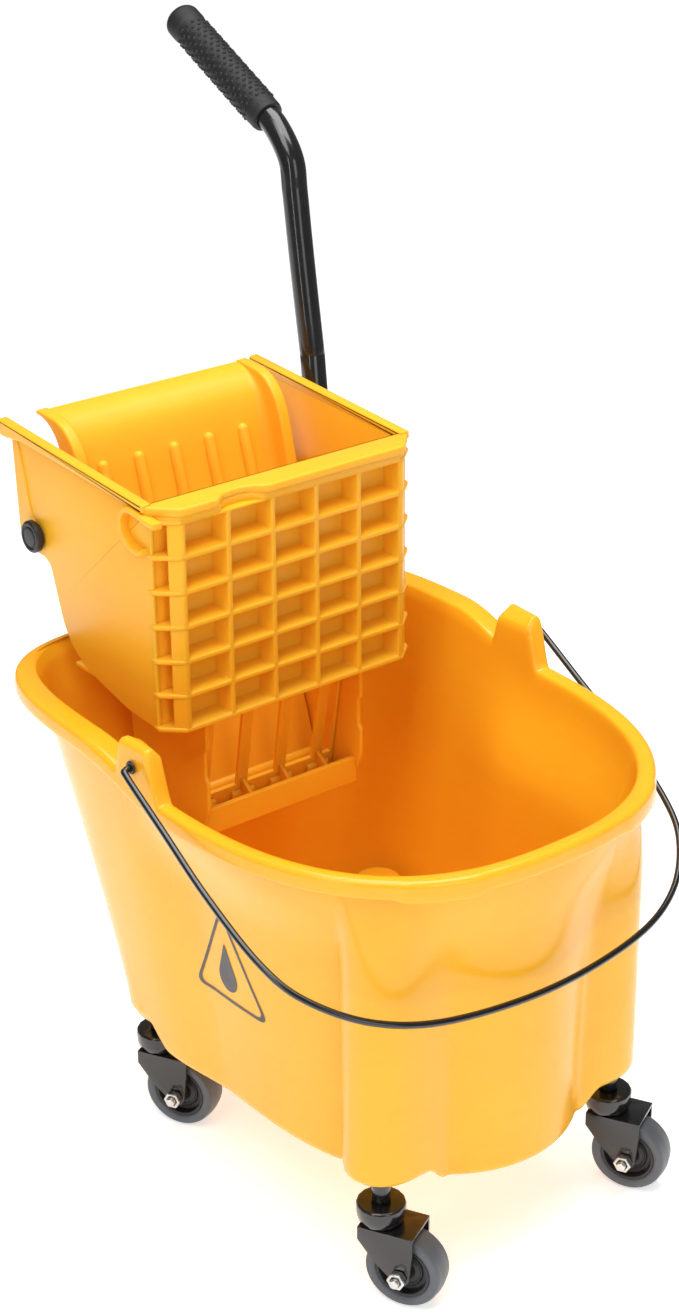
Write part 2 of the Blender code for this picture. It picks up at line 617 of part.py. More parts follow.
def build_drain_grate(plastic, wringer):
    """Slanted grate below the cells: bars with arched windows, its foot standing on the rail."""
    top, foot = Vector((0, 0.1475, 0.3915)), Vector((0, 0.1650, 0.2868))
    half = BOX_HALF - SIDE_WALL - FIT_GAP
    thickness = Vector((0, 0.0035, 0))
    slope = (top - foot)
    points = [(-half, 0), (half, 0), (half, 1), (-half, 1)]
    slab = prism([foot + slope * s + Vector((x, 0, 0)) for x, s in points], thickness)
    grate = add_piece("drain_grate", slab, plastic, wringer)
    windows = []
    for centre, reach in ((-0.0395, 0.0145), (0.0, 0.0145), (0.0395, 0.0145), (-0.0685, 0.0038), (0.0685, 0.0038)):
        outline = [(centre - reach, 0.14), (centre + reach, 0.14)]
        for i in range(7):
            angle = math.pi * i / 6
            outline.append((centre + reach * math.cos(angle), 0.78 + 0.12 * math.sin(angle)))
        start = foot - thickness
        windows.append(prism([start + slope * s + Vector((x, 0, 0)) for x, s in outline], thickness * 4))
    combine(grate, merged(*windows), "DIFFERENCE")
    feet = [prism_x([(0.1590, 0.2868), (0.1690, 0.2868), (0.1690, 0.2935), (0.1590, 0.2935)], (x - 0.011, x + 0.011))
            for x in (-0.060, -0.020, 0.020, 0.060)]
    combine(grate, merged(*feet), "UNION")


# ---------------------------------------------------------------- press plate and gears
def about_hinge(distance, angle, offset=0.0):
    """(y, z) point seen from the hinge pin; the angle leans back from the vertical."""
    return (HINGE_Y + distance * math.sin(angle) + offset * math.cos(angle),
            HINGE_Z + distance * math.cos(angle) - offset * math.sin(angle))


def about_axle(distance, angle):
    """(y, z) point seen from the lever axle; the angle leads forward from straight down."""
    return (AXLE_Y - distance * math.sin(angle), AXLE_Z - distance * math.cos(angle))


def toothed_edge(place, radius, pitch_angle, first, last, phase, outward):
    """Points of trapezoid teeth along a pitch arc, from the first angle to the last."""
    tip = radius + outward * 0.75 * TOOTH_MODULE
    root = radius - outward * 1.05 * TOOTH_MODULE
    points = [place(root, first)]
    count = math.floor((last - phase) / pitch_angle)
    start = math.ceil((first - phase) / pitch_angle)
    for tooth in range(start, count + 1):
        middle = phase + tooth * pitch_angle
        if middle - 0.34 * pitch_angle < first or middle + 0.34 * pitch_angle > last:
            continue
        points += [place(root, middle - 0.30 * pitch_angle), place(tip, middle - 0.13 * pitch_angle),
                   place(tip, middle + 0.13 * pitch_angle), place(root, middle + 0.30 * pitch_angle)]
    return points + [place(root, last)]


def build_press_plate(plastic, wringer):
    """Moving press plate: hinged at its foot, dished at its top, with two curved racks on its back."""
    hinge = Vector((0, HINGE_Y, HINGE_Z))
    press = make_body("press", wringer, hinge)
    half = PLATE_THICK / 2
    low, knee = 0.1335, 0.262

    lower = [about_hinge(0.004, PLATE_LEAN, -half), about_hinge(low + 0.004, PLATE_LEAN, -half),
             about_hinge(low + 0.004, PLATE_LEAN, half), about_hinge(0.004, PLATE_LEAN, half)]
    plate = add_piece("press_plate", prism_x(lower, (-0.0745, 0.0745)), plastic, press, hinge)

    upper = [about_hinge(low, PLATE_LEAN, -half), about_hinge(knee, PLATE_LEAN, -half), (0.2725, 0.5650),
             (0.2805, 0.5850), (0.2865, 0.6000), (0.2915, 0.6055), (0.3130, 0.6040), (0.3130, 0.5990),
             (0.2935, 0.5990), (0.2855, 0.5830), (0.2770, 0.5640), about_hinge(knee, PLATE_LEAN, half),
             about_hinge(low, PLATE_LEAN, half)]
    combine(plate, prism_x(upper, (-PLATE_HALF + 0.001, PLATE_HALF - 0.001)), "UNION", hinge)

    cheek = [(0.3120, 0.6048), (0.2950, 0.6060), (0.2730, 0.6000), (0.2580, 0.5850), (0.2500, 0.5580),
             (0.2420, 0.5300), (0.2355, 0.5050), (0.2235, 0.4550), (0.2145, 0.4190),
             about_hinge(low + 0.001, PLATE_LEAN, half + 0.001), about_hinge(knee, PLATE_LEAN, half + 0.001),
             (0.2780, 0.5630), (0.2940, 0.5960), (0.3120, 0.5980)]
    cheeks = [prism_x(cheek, (side * (PLATE_HALF - 0.0045), side * PLATE_HALF)) for side in (-1, 1)]
    combine(plate, merged(*cheeks), "UNION", hinge)

    ribs = []
    for rib in range(-2, 3):
        outline = [about_hinge(low + 0.008, PLATE_LEAN, -half - 0.0030), about_hinge(0.286, PLATE_LEAN, -half - 0.0030),
                   about_hinge(0.291, PLATE_LEAN, -half + 0.001), about_hinge(low + 0.008, PLATE_LEAN, -half + 0.001)]
        ribs.append(prism_x(outline, (rib * 0.035 - 0.005, rib * 0.035 + 0.005)))
    combine(plate, merged(*ribs), "UNION", hinge)
    combine(plate, rod((-0.0745, HINGE_Y, HINGE_Z), (0.0745, HINGE_Y, HINGE_Z), 0.0062, 16), "UNION", hinge)

    pitch = 2 * math.pi / RACK_TEETH_FULL
    first, last = PLATE_LEAN - math.radians(0.3), MESH_ANGLE + math.radians(LEVER_TRAVEL * GEAR_RATIO + 4.5)
    teeth = toothed_edge(about_hinge, RACK_RADIUS, pitch, MESH_ANGLE - 1.6 * pitch, last, MESH_ANGLE, 1)
    inner = [about_hinge(0.181, mix(last, first, i / 8)) for i in range(9)]
    rack = [about_hinge(RACK_RADIUS - 1.05 * TOOTH_MODULE, first)] + teeth + inner
    gusset = [about_hinge(0.118, PLATE_LEAN), about_hinge(0.184, PLATE_LEAN), about_hinge(0.184, PLATE_LEAN + 0.30)]
    racks, gussets = [], []
    for side in (-1, 1):
        left = side * GEAR_X - GEAR_WIDTH / 2
        racks.append(prism_x(rack, (left, left + GEAR_WIDTH)))
        gussets.append(prism_x(gusset, (left + 0.003, left + GEAR_WIDTH - 0.003)))
    combine(plate, merged(*racks), "UNION", hinge)
    combine(plate, merged(*gussets), "UNION", hinge)
    combine(plate, rod((-0.09, HINGE_Y, HINGE_Z), (0.09, HINGE_Y, HINGE_Z), 0.0025 + FIT_GAP, 12),
            "DIFFERENCE", hinge)
    return press


def build_gear_sector(name, side, steel, lever, axle):
    """Gear sector keyed on the axle: a hub, a fan-shaped web and a toothed edge."""
    pitch = 2 * math.pi / GEAR_TEETH_FULL
    lead = MESH_ANGLE + 0.62 * pitch
    trail = MESH_ANGLE - math.radians(LEVER_TRAVEL) - 0.62 * pitch
    teeth = toothed_edge(about_axle, GEAR_RADIUS, pitch, trail, lead, MESH_ANGLE + pitch / 2, 1)
    fan = [about_axle(0.010, lead)] + [about_axle(0.010, trail)] + teeth
    left = side * GEAR_X - GEAR_WIDTH / 2
    sector = add_piece(name, prism_x(fan, (left, left + GEAR_WIDTH)), steel, lever, axle)
    hub = rod((left - 0.003, AXLE_Y, AXLE_Z), (left + GEAR_WIDTH + 0.003, AXLE_Y, AXLE_Z), 0.0135, 20)
    bore = rod((left - 0.01, AXLE_Y, AXLE_Z), (left + GEAR_WIDTH + 0.01, AXLE_Y, AXLE_Z), AXLE_RADIUS + 0.0003, 20)
    combine(sector, hub, "UNION", axle)
    combine(sector, bore, "DIFFERENCE", axle)


# ---------------------------------------------------------------- lever
def lever_point(y, z):
    return Vector((LEVER_X, y, z))


def build_lever(materials, wringer):
    axle = Vector((0, AXLE_Y, AXLE_Z))
    lever = make_body("lever", wringer, axle)

    def across(x):
        return (x, AXLE_Y, AXLE_Z)

    for side, tag in ((-1, "left"), (1, "right")):
        build_gear_sector("gear_sector_" + tag, side, materials["black_plastic"], lever, axle)
        bush = sleeve(across(side * 0.1165), across(side * 0.1265), AXLE_RADIUS + FIT_GAP, 0.0105, 16)
        bush_piece = add_piece("axle_bush_" + tag, bush, materials["nylon"], wringer)
        flange = sleeve(across(side * 0.1165), across(side * (WRINGER_HALF - SIDE_WALL - FIT_GAP)),
                        0.0095, 0.0130, 16)
        combine(bush_piece, flange, "UNION")
        build_return_spring("return_spring_" + tag, side, materials["zinc"], wringer)

    add_piece("lever_axle", rod(across(-0.1330), across(0.1810), AXLE_RADIUS, 20), materials["zinc"], lever, axle)
    cap = turned([(AXLE_RADIUS + FIT_GAP, 0), (0.0135, 0), (0.0140, 0.0015), (0.0140, 0.0085), (0.0125, 0.0105),
                  (0, 0.0105), (0, 0.0065), (AXLE_RADIUS + FIT_GAP, 0.0065)], 24, along(across(-0.1270), (-1, 0, 0)))
    add_piece("axle_cap", cap, materials["black_plastic"], lever, axle)
    spacer = sleeve(across(0.1275), across(0.1475), AXLE_RADIUS + FIT_GAP, 0.0105, 20)
    add_piece("axle_spacer", spacer, materials["nylon"], lever, axle)

    up = Vector((0, 0.109, 0.994)).normalized()
    root = Vector((LEVER_X, AXLE_Y, AXLE_Z))
    socket = add_piece("lever_socket", rod(across(0.1480), across(0.1820), 0.0165, 24), materials["black_steel"],
                       lever, axle)
    socket_length = 0.092
    combine(socket, rod(root + up * 0.004, root + up * socket_length, TUBE_RADIUS, 20), "UNION", axle)
    combine(socket, rod(root + up * 0.022, root + up * 0.120, TUBE_STUB_RADIUS + FIT_GAP, 20), "DIFFERENCE", axle)
    combine(socket, rod(across(0.14), across(0.19), AXLE_RADIUS + 0.0003, 20), "DIFFERENCE", axle)

    bolt_at = root + up * 0.044
    cross_hole = rod(bolt_at - Vector((0.03, 0, 0)), bolt_at + Vector((0.03, 0, 0)), 0.0038 + FIT_GAP, 12)
    combine(socket, cross_hole.copy(), "DIFFERENCE", axle)

    grip_end = lever_point(0.485, 0.859)
    grip_way = Vector((0, 0.893, 0.450)).normalized()
    grip_start = grip_end - grip_way * GRIP_LENGTH
    bends = [root + up * (socket_length + 0.001), lever_point(0.3080, 0.655), lever_point(0.3150, 0.700),
             lever_point(0.3205, 0.738), lever_point(0.3255, 0.765), grip_start - grip_way * 0.012, grip_start]
    stub = [root + up * 0.024, root + up * (socket_length + 0.0004)]
    path = stub + smooth_path(bends, 3) + [grip_end - grip_way * 0.008]
    radii = [TUBE_STUB_RADIUS] * len(stub) + [TUBE_RADIUS] * (len(path) - len(stub))
    tube = add_piece("lever_tube", swept(path, radii, TUBE_STUB_RADIUS - TUBE_WALL, 14), materials["black_steel"],
                     lever, axle)
    combine(tube, cross_hole, "DIFFERENCE", axle)

    face = TUBE_RADIUS + FIT_GAP
    bolt = turned([(0, 0), (0.0038, 0), (0.0038, 0.0075 + face * 2), (0.0068, 0.0075 + face * 2),
                   (0.0068, 0.0123 + face * 2), (0, 0.0123 + face * 2)], 12,
                  along(bolt_at - Vector((face + 0.0075, 0, 0)), (1, 0, 0)))
    add_piece("lever_bolt", bolt, materials["zinc"], lever, axle)
    nut = hexagon(bolt_at - Vector((face + 0.0055, 0, 0)), bolt_at - Vector((face, 0, 0)), 0.013, 0.0038 + FIT_GAP)
    add_piece("lever_nut", nut, materials["zinc"], lever, axle)

    bore = TUBE_RADIUS + FIT_GAP
    grip = turned([(bore, 0), (GRIP_RADIUS - 0.001, 0), (GRIP_RADIUS, 0.002), (GRIP_RADIUS, GRIP_LENGTH - 0.003),
                   (GRIP_RADIUS - 0.002, GRIP_LENGTH), (0, GRIP_LENGTH), (0, GRIP_LENGTH - 0.006),
                   (bore, GRIP_LENGTH - 0.006)], 24, along(grip_start, grip_way))
    add_piece("lever_grip", grip, materials["rubber"], lever, axle)
    return lever


def build_return_spring(name, side, steel, wringer):
    """Torsion spring coiled around the axle, with a straight leg at each end."""
    turns, per_turn, coil, wire = 3, 12, 0.0118, 0.0012
    first_x = side * 0.0760
    rise = side * 0.0065
    path = []
    for i in range(turns * per_turn + 1):
        angle = 2 * math.pi * i / per_turn
        path.append(Vector((first_x + rise * i / per_turn, AXLE_Y + coil * math.sin(angle),
                            AXLE_Z + coil * math.cos(angle))))
    legs = (Vector((0, -0.022, 0)), Vector((0, 0.026, 0)))
    path = [path[0] + legs[0]] + path + [path[-1] + legs[1]]
    add_piece(name, swept(path, [wire] * len(path), 0, 5), steel, wringer)


def build_hinge_pin(steel, wringer):
    pin = rod((-0.0840, HINGE_Y, HINGE_Z), (0.0840, HINGE_Y, HINGE_Z), 0.0025, 12)
    add_piece("hinge_pin", pin, steel, wringer)
    for side, tag in ((-1, "left"), (1, "right")):
        ends = sorted((side * 0.0803, side * 0.0820))
        clip = sleeve((ends[0], HINGE_Y, HINGE_Z), (ends[1], HINGE_Y, HINGE_Z), 0.0025 + 0.0003, 0.0055, 16)
        add_piece("hinge_clip_" + tag, clip, steel, wringer)


# ---------------------------------------------------------------- assembly
def build_all():
    for old in list(bpy.data.objects):
        bpy.data.objects.remove(old)
    materials = {
        "yellow": make_material("yellow_plastic", (0.95, 0.52, 0.035), 0.35),
        "black_plastic": make_material("black_plastic", (0.02, 0.02, 0.02), 0.45),
        "black_steel": make_material("black_steel", (0.015, 0.015, 0.016), 0.25, 0.3),
        "zinc": make_material("zinc_steel", (0.62, 0.63, 0.64), 0.25, 1.0),
        "tyre": make_material("grey_tyre", (0.12, 0.13, 0.14), 0.6),
        "rubber": make_material("black_rubber", (0.02, 0.02, 0.02), 0.6),
        "nylon": make_material("dark_nylon", (0.04, 0.04, 0.04), 0.5),
    }
    bucket = make_body("bucket", None, (0, ASSEMBLY_SHIFT_Y, -DESIGN_FLOOR_Z))
    build_bucket(materials["yellow"], bucket)
    build_bail(materials["black_steel"], bucket)
    for tag, side_x, side_y in (("front_left", -1, -1), ("front_right", 1, -1),
                                ("rear_left", -1, 1), ("rear_right", 1, 1)):
        build_caster(tag, side_x, side_y, materials, bucket)

    wringer = make_body("wringer", bucket, (0, 0, 0))
    build_wringer_frame(materials["yellow"], wringer)
    build_drain_grate(materials["yellow"], wringer)
    build_hinge_pin(materials["zinc"], wringer)
    build_press_plate(materials["yellow"], wringer)
    build_lever(materials, wringer)


build_all()
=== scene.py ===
"""Looks of a side-press mop bucket: yellow mouldings, black steel, plated fasteners and rubber.

Lengths are in metres. The drawing frame used by spot() has its origin midway between the four caster
stems, with the tops of the stems at height SOCKET_TOP.
"""
import math

import bmesh
import bpy
from mathutils import Matrix, Vector


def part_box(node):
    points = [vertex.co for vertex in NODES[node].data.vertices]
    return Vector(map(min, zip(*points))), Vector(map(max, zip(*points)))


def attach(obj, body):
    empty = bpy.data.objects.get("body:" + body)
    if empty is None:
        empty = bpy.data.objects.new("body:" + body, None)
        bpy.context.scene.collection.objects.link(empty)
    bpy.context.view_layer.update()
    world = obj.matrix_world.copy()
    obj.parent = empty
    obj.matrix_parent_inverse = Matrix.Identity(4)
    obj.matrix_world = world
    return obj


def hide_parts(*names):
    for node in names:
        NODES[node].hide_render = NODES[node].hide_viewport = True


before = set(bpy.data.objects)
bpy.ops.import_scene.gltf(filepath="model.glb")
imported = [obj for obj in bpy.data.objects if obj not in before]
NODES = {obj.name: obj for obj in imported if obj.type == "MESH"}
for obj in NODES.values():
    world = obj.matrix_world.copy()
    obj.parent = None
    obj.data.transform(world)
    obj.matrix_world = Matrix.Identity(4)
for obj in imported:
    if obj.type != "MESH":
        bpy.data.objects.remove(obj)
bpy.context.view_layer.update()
CORNERS = ("front_left", "front_right", "rear_left", "rear_right")
SIDES = ((-1, "left"), (1, "right"))

# ---------------------------------------------------------------- sizes shared with the frame
SOCKET_TOP = 0.162
stem_boxes = [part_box("caster_stem_" + corner) for corner in CORNERS]
ORIGIN = Vector((0, sum(low.y + high.y for low, high in stem_boxes) / 8, stem_boxes[0][1].z - SOCKET_TOP))

FOUR_WAYS = tuple((sx, sy) for sx in (-1, 1) for sy in (-1, 1))

# Tub. An outline is the half width, half length and power of its front, then of its rear.
WALL = 0.0035
PLAN_CENTRE_Y = 0.030
FOOT_OUTLINE = ((0.134, 0.197, 3.0), (0.142, 0.154, 6.0))
TOP_OUTLINE = ((0.1650, 0.220, 2.6), (0.1790, 0.245, 5.0))
RIM_OUTLINE = ((0.1965, 0.2440, 2.5), (0.2020, 0.255, 5.0))
BELLY_Z, CORNER_Z = 0.108, 0.124
RIM_FRONT_Z, RIM_REAR_RISE = 0.396, 0.024
RIM_OVERHANG = 0.0125
WALL_BLEND, THROAT_HEIGHT = 0.0040, 0.095
CORNER_LOBE = (0.112, 0.142, 0.029)
INNER_LOBES_X = (0.098, 0.084)
FRONT_LOBE = (-0.092, 0.100)
STEM_X, STEM_Y = 0.118, 0.150
CORNER_FLAT, CORNER_FADE = 0.036, 0.052
PAD_INNER_X, PAD_OUTER_X, PAD_HEIGHT, PAD_THICKNESS = (0.067, 0.071), (0.122, 0.127), 0.0025, 0.0016
LUG_FRONT_Y, LUG_REAR_Y, LUG_TOP_Z = (0.018, 0.034), (0.064, 0.071), 0.437

# Bail, press, lever and wheels. A pair is a (y, z) place.
BAIL_PIVOT = (0.0475, 0.419)
BAIL_DROOP = math.radians(29.5)
BAIL_HALF = 0.2065
BAIL_WIRE = 0.00275
HINGE = (0.182, 0.290)
AXLE = (0.289, 0.509)
PLATE_LEAN = math.radians(18.6)
PLATE_HALF = 0.105
LEVER_X = 0.165
TUBE_RADIUS = 0.011
GRIP_LENGTH, GRIP_RADIUS = 0.143, 0.0160
WHEEL_RADIUS, TYRE_HALF, HUB_EDGE = 0.0318, 0.012, 0.0222
CASTER_TURN = math.radians(28)


def spot(x, y, z):
    """A point of the drawing frame, moved to where the frame stands."""
    return Vector((x, y, z)) + ORIGIN


def mix(a, b, t):
    return a + (b - a) * t


def smoothstep(low, high, value):
    t = min(max((value - low) / (high - low), 0.0), 1.0)
    return t * t * (3 - 2 * t)


# ---------------------------------------------------------------- finishes
class Wiring:
    """Short-hand for placing and joining the nodes of a tree."""

    def __init__(self, tree):
        self.tree = tree

    def join(self, value, socket):
        if isinstance(value, bpy.types.NodeSocket):
            self.tree.links.new(value, socket)
        elif value is not None:
            socket.default_value = value

    def put(self, kind, **inputs):
        """Adds a node and joins its named inputs; an underscore stands for a space."""
        node = self.tree.nodes.new(kind)
        for label, value in inputs.items():
            self.join(value, node.inputs[label.replace("_", " ")])
        return node

    def noise(self, vector, scale, detail, roughness, distortion=0.0):
        return self.put("ShaderNodeTexNoise", Vector=vector, Scale=scale, Detail=detail,
                        Roughness=roughness, Distortion=distortion).outputs["Fac"]

    def stretched(self, vector, scale):
        return self.put("ShaderNodeMapping", Vector=vector, Scale=scale).outputs["Vector"]

    def span(self, value, low, high, to_low=0.0, to_high=1.0):
        node = self.put("ShaderNodeMapRange")
        for socket, item in zip(node.inputs, (value, low, high, to_low, to_high)):
            self.join(item, socket)
        return node.outputs[0]

    def maths(self, kind, a, b=None):
        node = self.put("ShaderNodeMath")
        node.operation = kind
        self.join(a, node.inputs[0])
        self.join(b, node.inputs[1])
        return node.outputs[0]

    def blend(self, share, a, b):
        node = self.put("ShaderNodeMix")
        node.data_type = "RGBA"
        for socket, item in zip((node.inputs[0], node.inputs[6], node.inputs[7]), (share, a, b)):
            self.join(item, socket)
        return node.outputs[2]

    def bump(self, height, strength, distance):
        return self.put("ShaderNodeBump", Strength=strength, Distance=distance,
                        Height=height).outputs["Normal"]

    def place(self):
        return self.put("ShaderNodeTexCoord").outputs["Object"]


def skin_group(name, inputs):
    """Shader group that turns named inputs into a colour, a roughness and a normal."""
    group = bpy.data.node_groups.new(name, "ShaderNodeTree")
    for label, value in inputs.items():
        kind = "NodeSocketFloat" if isinstance(value, float) else "NodeSocketColor"
        group.interface.new_socket(name=label, in_out="INPUT", socket_type=kind).default_value = value
    for label, kind in (("Colour", "Color"), ("Roughness", "Float"), ("Normal", "Vector")):
        group.interface.new_socket(name=label, in_out="OUTPUT", socket_type="NodeSocket" + kind)
    w = Wiring(group)
    return w, w.put("NodeGroupInput").outputs, w.put("NodeGroupOutput").inputs


def moulded_skin():
    """Skin of a moulding: slow drift of tone, faint flow marks, orange peel and rubbed streaks."""
    w, given, result = skin_group("moulded_skin", {
        "Colour": (1, 1, 1, 1), "Deep Colour": (1, 1, 1, 1), "Roughness": 0.3, "Peel Scale": 900.0,
        "Peel Strength": 0.1, "Flow Strength": 0.1})
    place = w.place()
    drift = w.noise(place, 9.0, 3.0, 0.55, 0.4)
    flow = w.noise(w.stretched(place, (2.0, 2.0, 14.0)), 6.0, 4.0, 0.6, 1.2)
    peel = w.noise(place, given["Peel Scale"], 3.0, 0.6)
    rubbed = w.span(w.noise(w.stretched(place, (40.0, 40.0, 4.0)), 5.0, 5.0, 0.65), 0.56, 0.74)
    tone = w.maths("ADD", w.maths("MULTIPLY", drift, 0.65), w.maths("MULTIPLY", flow, 0.35))
    rough = w.maths("ADD", given["Roughness"], w.span(drift, 0.3, 0.7, -0.03, 0.04))
    height = w.maths("ADD", w.maths("MULTIPLY", peel, given["Peel Strength"]),
                     w.maths("MULTIPLY", flow, given["Flow Strength"]))
    w.join(w.blend(w.span(tone, 0.35, 0.68), given["Colour"], given["Deep Colour"]), result["Colour"])
    w.join(w.maths("ADD", rough, w.maths("MULTIPLY", rubbed, 0.05)), result["Roughness"])
    w.join(w.bump(height, 1.0, 0.0006), result["Normal"])
    return w.tree


def handled_metal():
    """Plated or coated metal: fine brushing along one way, handling haze and small specks."""
    w, given, result = skin_group("handled_metal", {
        "Colour": (1, 1, 1, 1), "Haze Colour": (1, 1, 1, 1), "Roughness": 0.3, "Grain Strength": 0.1,
        "Grain Scale": 600.0, "Haze": 0.4})
    place = w.place()
    haze = w.span(w.noise(place, 55.0, 4.0, 0.6, 0.6), 0.42, 0.72)
    grain = w.noise(w.stretched(place, (1.0, 1.0, 0.25)), given["Grain Scale"], 3.0, 0.7)
    share = w.maths("MULTIPLY", haze, given["Haze"])
    rough = w.maths("ADD", given["Roughness"], w.maths("MULTIPLY", share, 0.18))
    w.join(w.blend(share, given["Colour"], given["Haze Colour"]), result["Colour"])
    w.join(w.maths("ADD", rough, w.span(grain, 0.3, 0.7, -0.02, 0.04)), result["Roughness"])
    w.join(w.bump(grain, given["Grain Strength"], 0.0002), result["Normal"])
    return w.tree


SKIN, METAL = moulded_skin(), handled_metal()


def finish(name, group, values, **shader_values):
    """A material whose colour, roughness and normal come from one of the groups."""
    material = bpy.data.materials.new(name)
    material.use_nodes = True
    tree = material.node_tree
    shader = tree.nodes["Principled BSDF"]
    skin = tree.nodes.new("ShaderNodeGroup")
    skin.node_tree = group
    for label, value in values.items():
        skin.inputs[label].default_value = value
    for label, into in (("Colour", "Base Color"), ("Roughness", "Roughness"), ("Normal", "Normal")):
        tree.links.new(skin.outputs[label], shader.inputs[into])
    for label, value in shader_values.items():
        shader.inputs[label.replace("_", " ")].default_value = value
    material.diffuse_color = (*values["Colour"][:3], 1.0)
    return material


YELLOW_GLOW = (0.020, 0.0055, 0.0008)
GLOSS_YELLOW = finish("tub_yellow", SKIN, {
    "Colour": (0.92, 0.450, 0.018, 1), "Deep Colour": (0.90, 0.420, 0.015, 1), "Roughness": 0.21,
    "Peel Scale": 420.0, "Peel Strength": 0.05, "Flow Strength": 0.16},
    Subsurface_Weight=0.30, Subsurface_Radius=YELLOW_GLOW, Subsurface_Scale=1.0,
    Specular_IOR_Level=0.40)
SATIN_YELLOW = finish("wringer_yellow", SKIN, {
    "Colour": (0.97, 0.480, 0.024, 1), "Deep Colour": (0.95, 0.445, 0.020, 1), "Roughness": 0.34,
    "Peel Scale": 1100.0, "Peel Strength": 0.10, "Flow Strength": 0.10},
    Subsurface_Weight=0.16, Subsurface_Radius=YELLOW_GLOW, Subsurface_Scale=1.0,
    Specular_IOR_Level=0.3)
BLACK_STEEL = finish("black_coat", METAL, {
    "Colour": (0.007, 0.007, 0.008, 1), "Haze Colour": (0.012, 0.012, 0.013, 1), "Roughness": 0.17,
    "Grain Strength": 0.05, "Grain Scale": 900.0, "Haze": 0.3}, Coat_Weight=0.50, Coat_Roughness=0.05)
ZINC = finish("zinc_plate", METAL, {
    "Colour": (0.66, 0.66, 0.64, 1), "Haze Colour": (0.50, 0.50, 0.47, 1), "Roughness": 0.24,
    "Grain Strength": 0.25, "Grain Scale": 1500.0, "Haze": 0.6}, Metallic=1.0)
BLACK_PLASTIC = finish("black_nylon", SKIN, {
    "Colour": (0.016, 0.016, 0.017, 1), "Deep Colour": (0.010, 0.010, 0.011, 1), "Roughness": 0.42,
    "Peel Scale": 1400.0, "Peel Strength": 0.3, "Flow Strength": 0.05})
TYRE_GREY = finish("tyre_grey", SKIN, {
    "Colour": (0.100, 0.110, 0.124, 1), "Deep Colour": (0.080, 0.088, 0.100, 1), "Roughness": 0.42,
    "Peel Scale": 1800.0, "Peel Strength": 0.35, "Flow Strength": 0.05})
GRIP_RUBBER = finish("grip_rubber", SKIN, {
    "Colour": (0.006, 0.006, 0.0065, 1), "Deep Colour": (0.010, 0.010, 0.0105, 1), "Roughness": 0.50,
    "Peel Scale": 2200.0, "Peel Strength": 0.5, "Flow Strength": 0.05})
PRINT_INK = finish("print_ink", SKIN, {
    "Colour": (0.060, 0.055, 0.060, 1), "Deep Colour": (0.045, 0.042, 0.046, 1), "Roughness": 0.4,
    "Peel Scale": 900.0, "Peel Strength": 0.1, "Flow Strength": 0.05})


# ---------------------------------------------------------------- mesh tools
def stood(name, data):
    """A new object in the scene."""
    thing = bpy.data.objects.new(name, data)
    bpy.context.scene.collection.objects.link(thing)
    return thing


def laid_down(bm, name):
    """Turns mesh code into a mesh."""
    mesh = bpy.data.meshes.new(name)
    bm.to_mesh(mesh)
    bm.free()
    return mesh


def taken_up(mesh):
    """Turns a mesh into mesh code."""
    bm = bmesh.new()
    bm.from_mesh(mesh)
    bpy.data.meshes.remove(mesh)
    return bm


def applied(carrier):
    """The mesh that an object's modifiers make of it."""
    mesh = bpy.data.meshes.new_from_object(carrier.evaluated_get(bpy.context.evaluated_depsgraph_get()))
    bpy.data.objects.remove(carrier)
    return mesh


def make_piece(name, bm, material, body, stands_for, crease=38.0, tidy=True):
    """Turns mesh code into a finished piece that rides on a body."""
    if tidy:
        bmesh.ops.remove_doubles(bm, verts=bm.verts, dist=2e-6)
        bmesh.ops.recalc_face_normals(bm, faces=bm.faces)
    mesh = laid_down(bm, name)
    mesh.materials.append(material)
    mesh.shade_smooth()
    mesh.set_sharp_from_angle(angle=math.radians(crease))
    piece = stood(name, mesh)
    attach(piece, body)
    if stands_for:
        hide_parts(*stands_for)


def joined(*parts):
    """Puts several mesh codes into one."""
    whole = bmesh.new()
    for part in parts:
        bmesh.ops.recalc_face_normals(part, faces=part.faces)
        mesh = laid_down(part, "part")
        whole.from_mesh(mesh)
        bpy.data.meshes.remove(mesh)
    return whole


def skin_between(bm, ring, following):
    for i in range(len(ring)):
        j = (i + 1) % len(ring)
        corners = []
        for vertex in (ring[i], ring[j], following[j], following[i]):
            if vertex not in corners:
                corners.append(vertex)
        if len(corners) > 2:
            bm.faces.new(corners)


def loft(rings):
    """Closed skin over rings of equal counts; the first and last ring are filled."""
    bm = bmesh.new()
    loops = [[bm.verts.new(p) for p in ring] for ring in rings]
    for ring, following in zip(loops, loops[1:]):
        skin_between(bm, ring, following)
    bm.faces.new(loops[0][::-1])
    bm.faces.new(loops[-1])
    return bm


def turned(profile, segments, place):
    """Solid of revolution about the local Z of place; profile is (radius, height) pairs."""
    bm = bmesh.new()
    rings = []
    for radius, height in profile:
        if radius < 1e-7:
            rings.append([bm.verts.new(place @ Vector((0, 0, height)))] * segments)
            continue
        ring = []
        for i in range(segments):
            angle = 2 * math.pi * i / segments
            point = Vector((radius * math.cos(angle), radius * math.sin(angle), height))
            ring.append(bm.verts.new(place @ point))
        rings.append(ring)
    if profile[0][0] > 1e-7 and profile[-1][0] > 1e-7:
        rings.append(rings[0])
    for ring, following in zip(rings, rings[1:]):
        skin_between(bm, ring, following)
    return bm


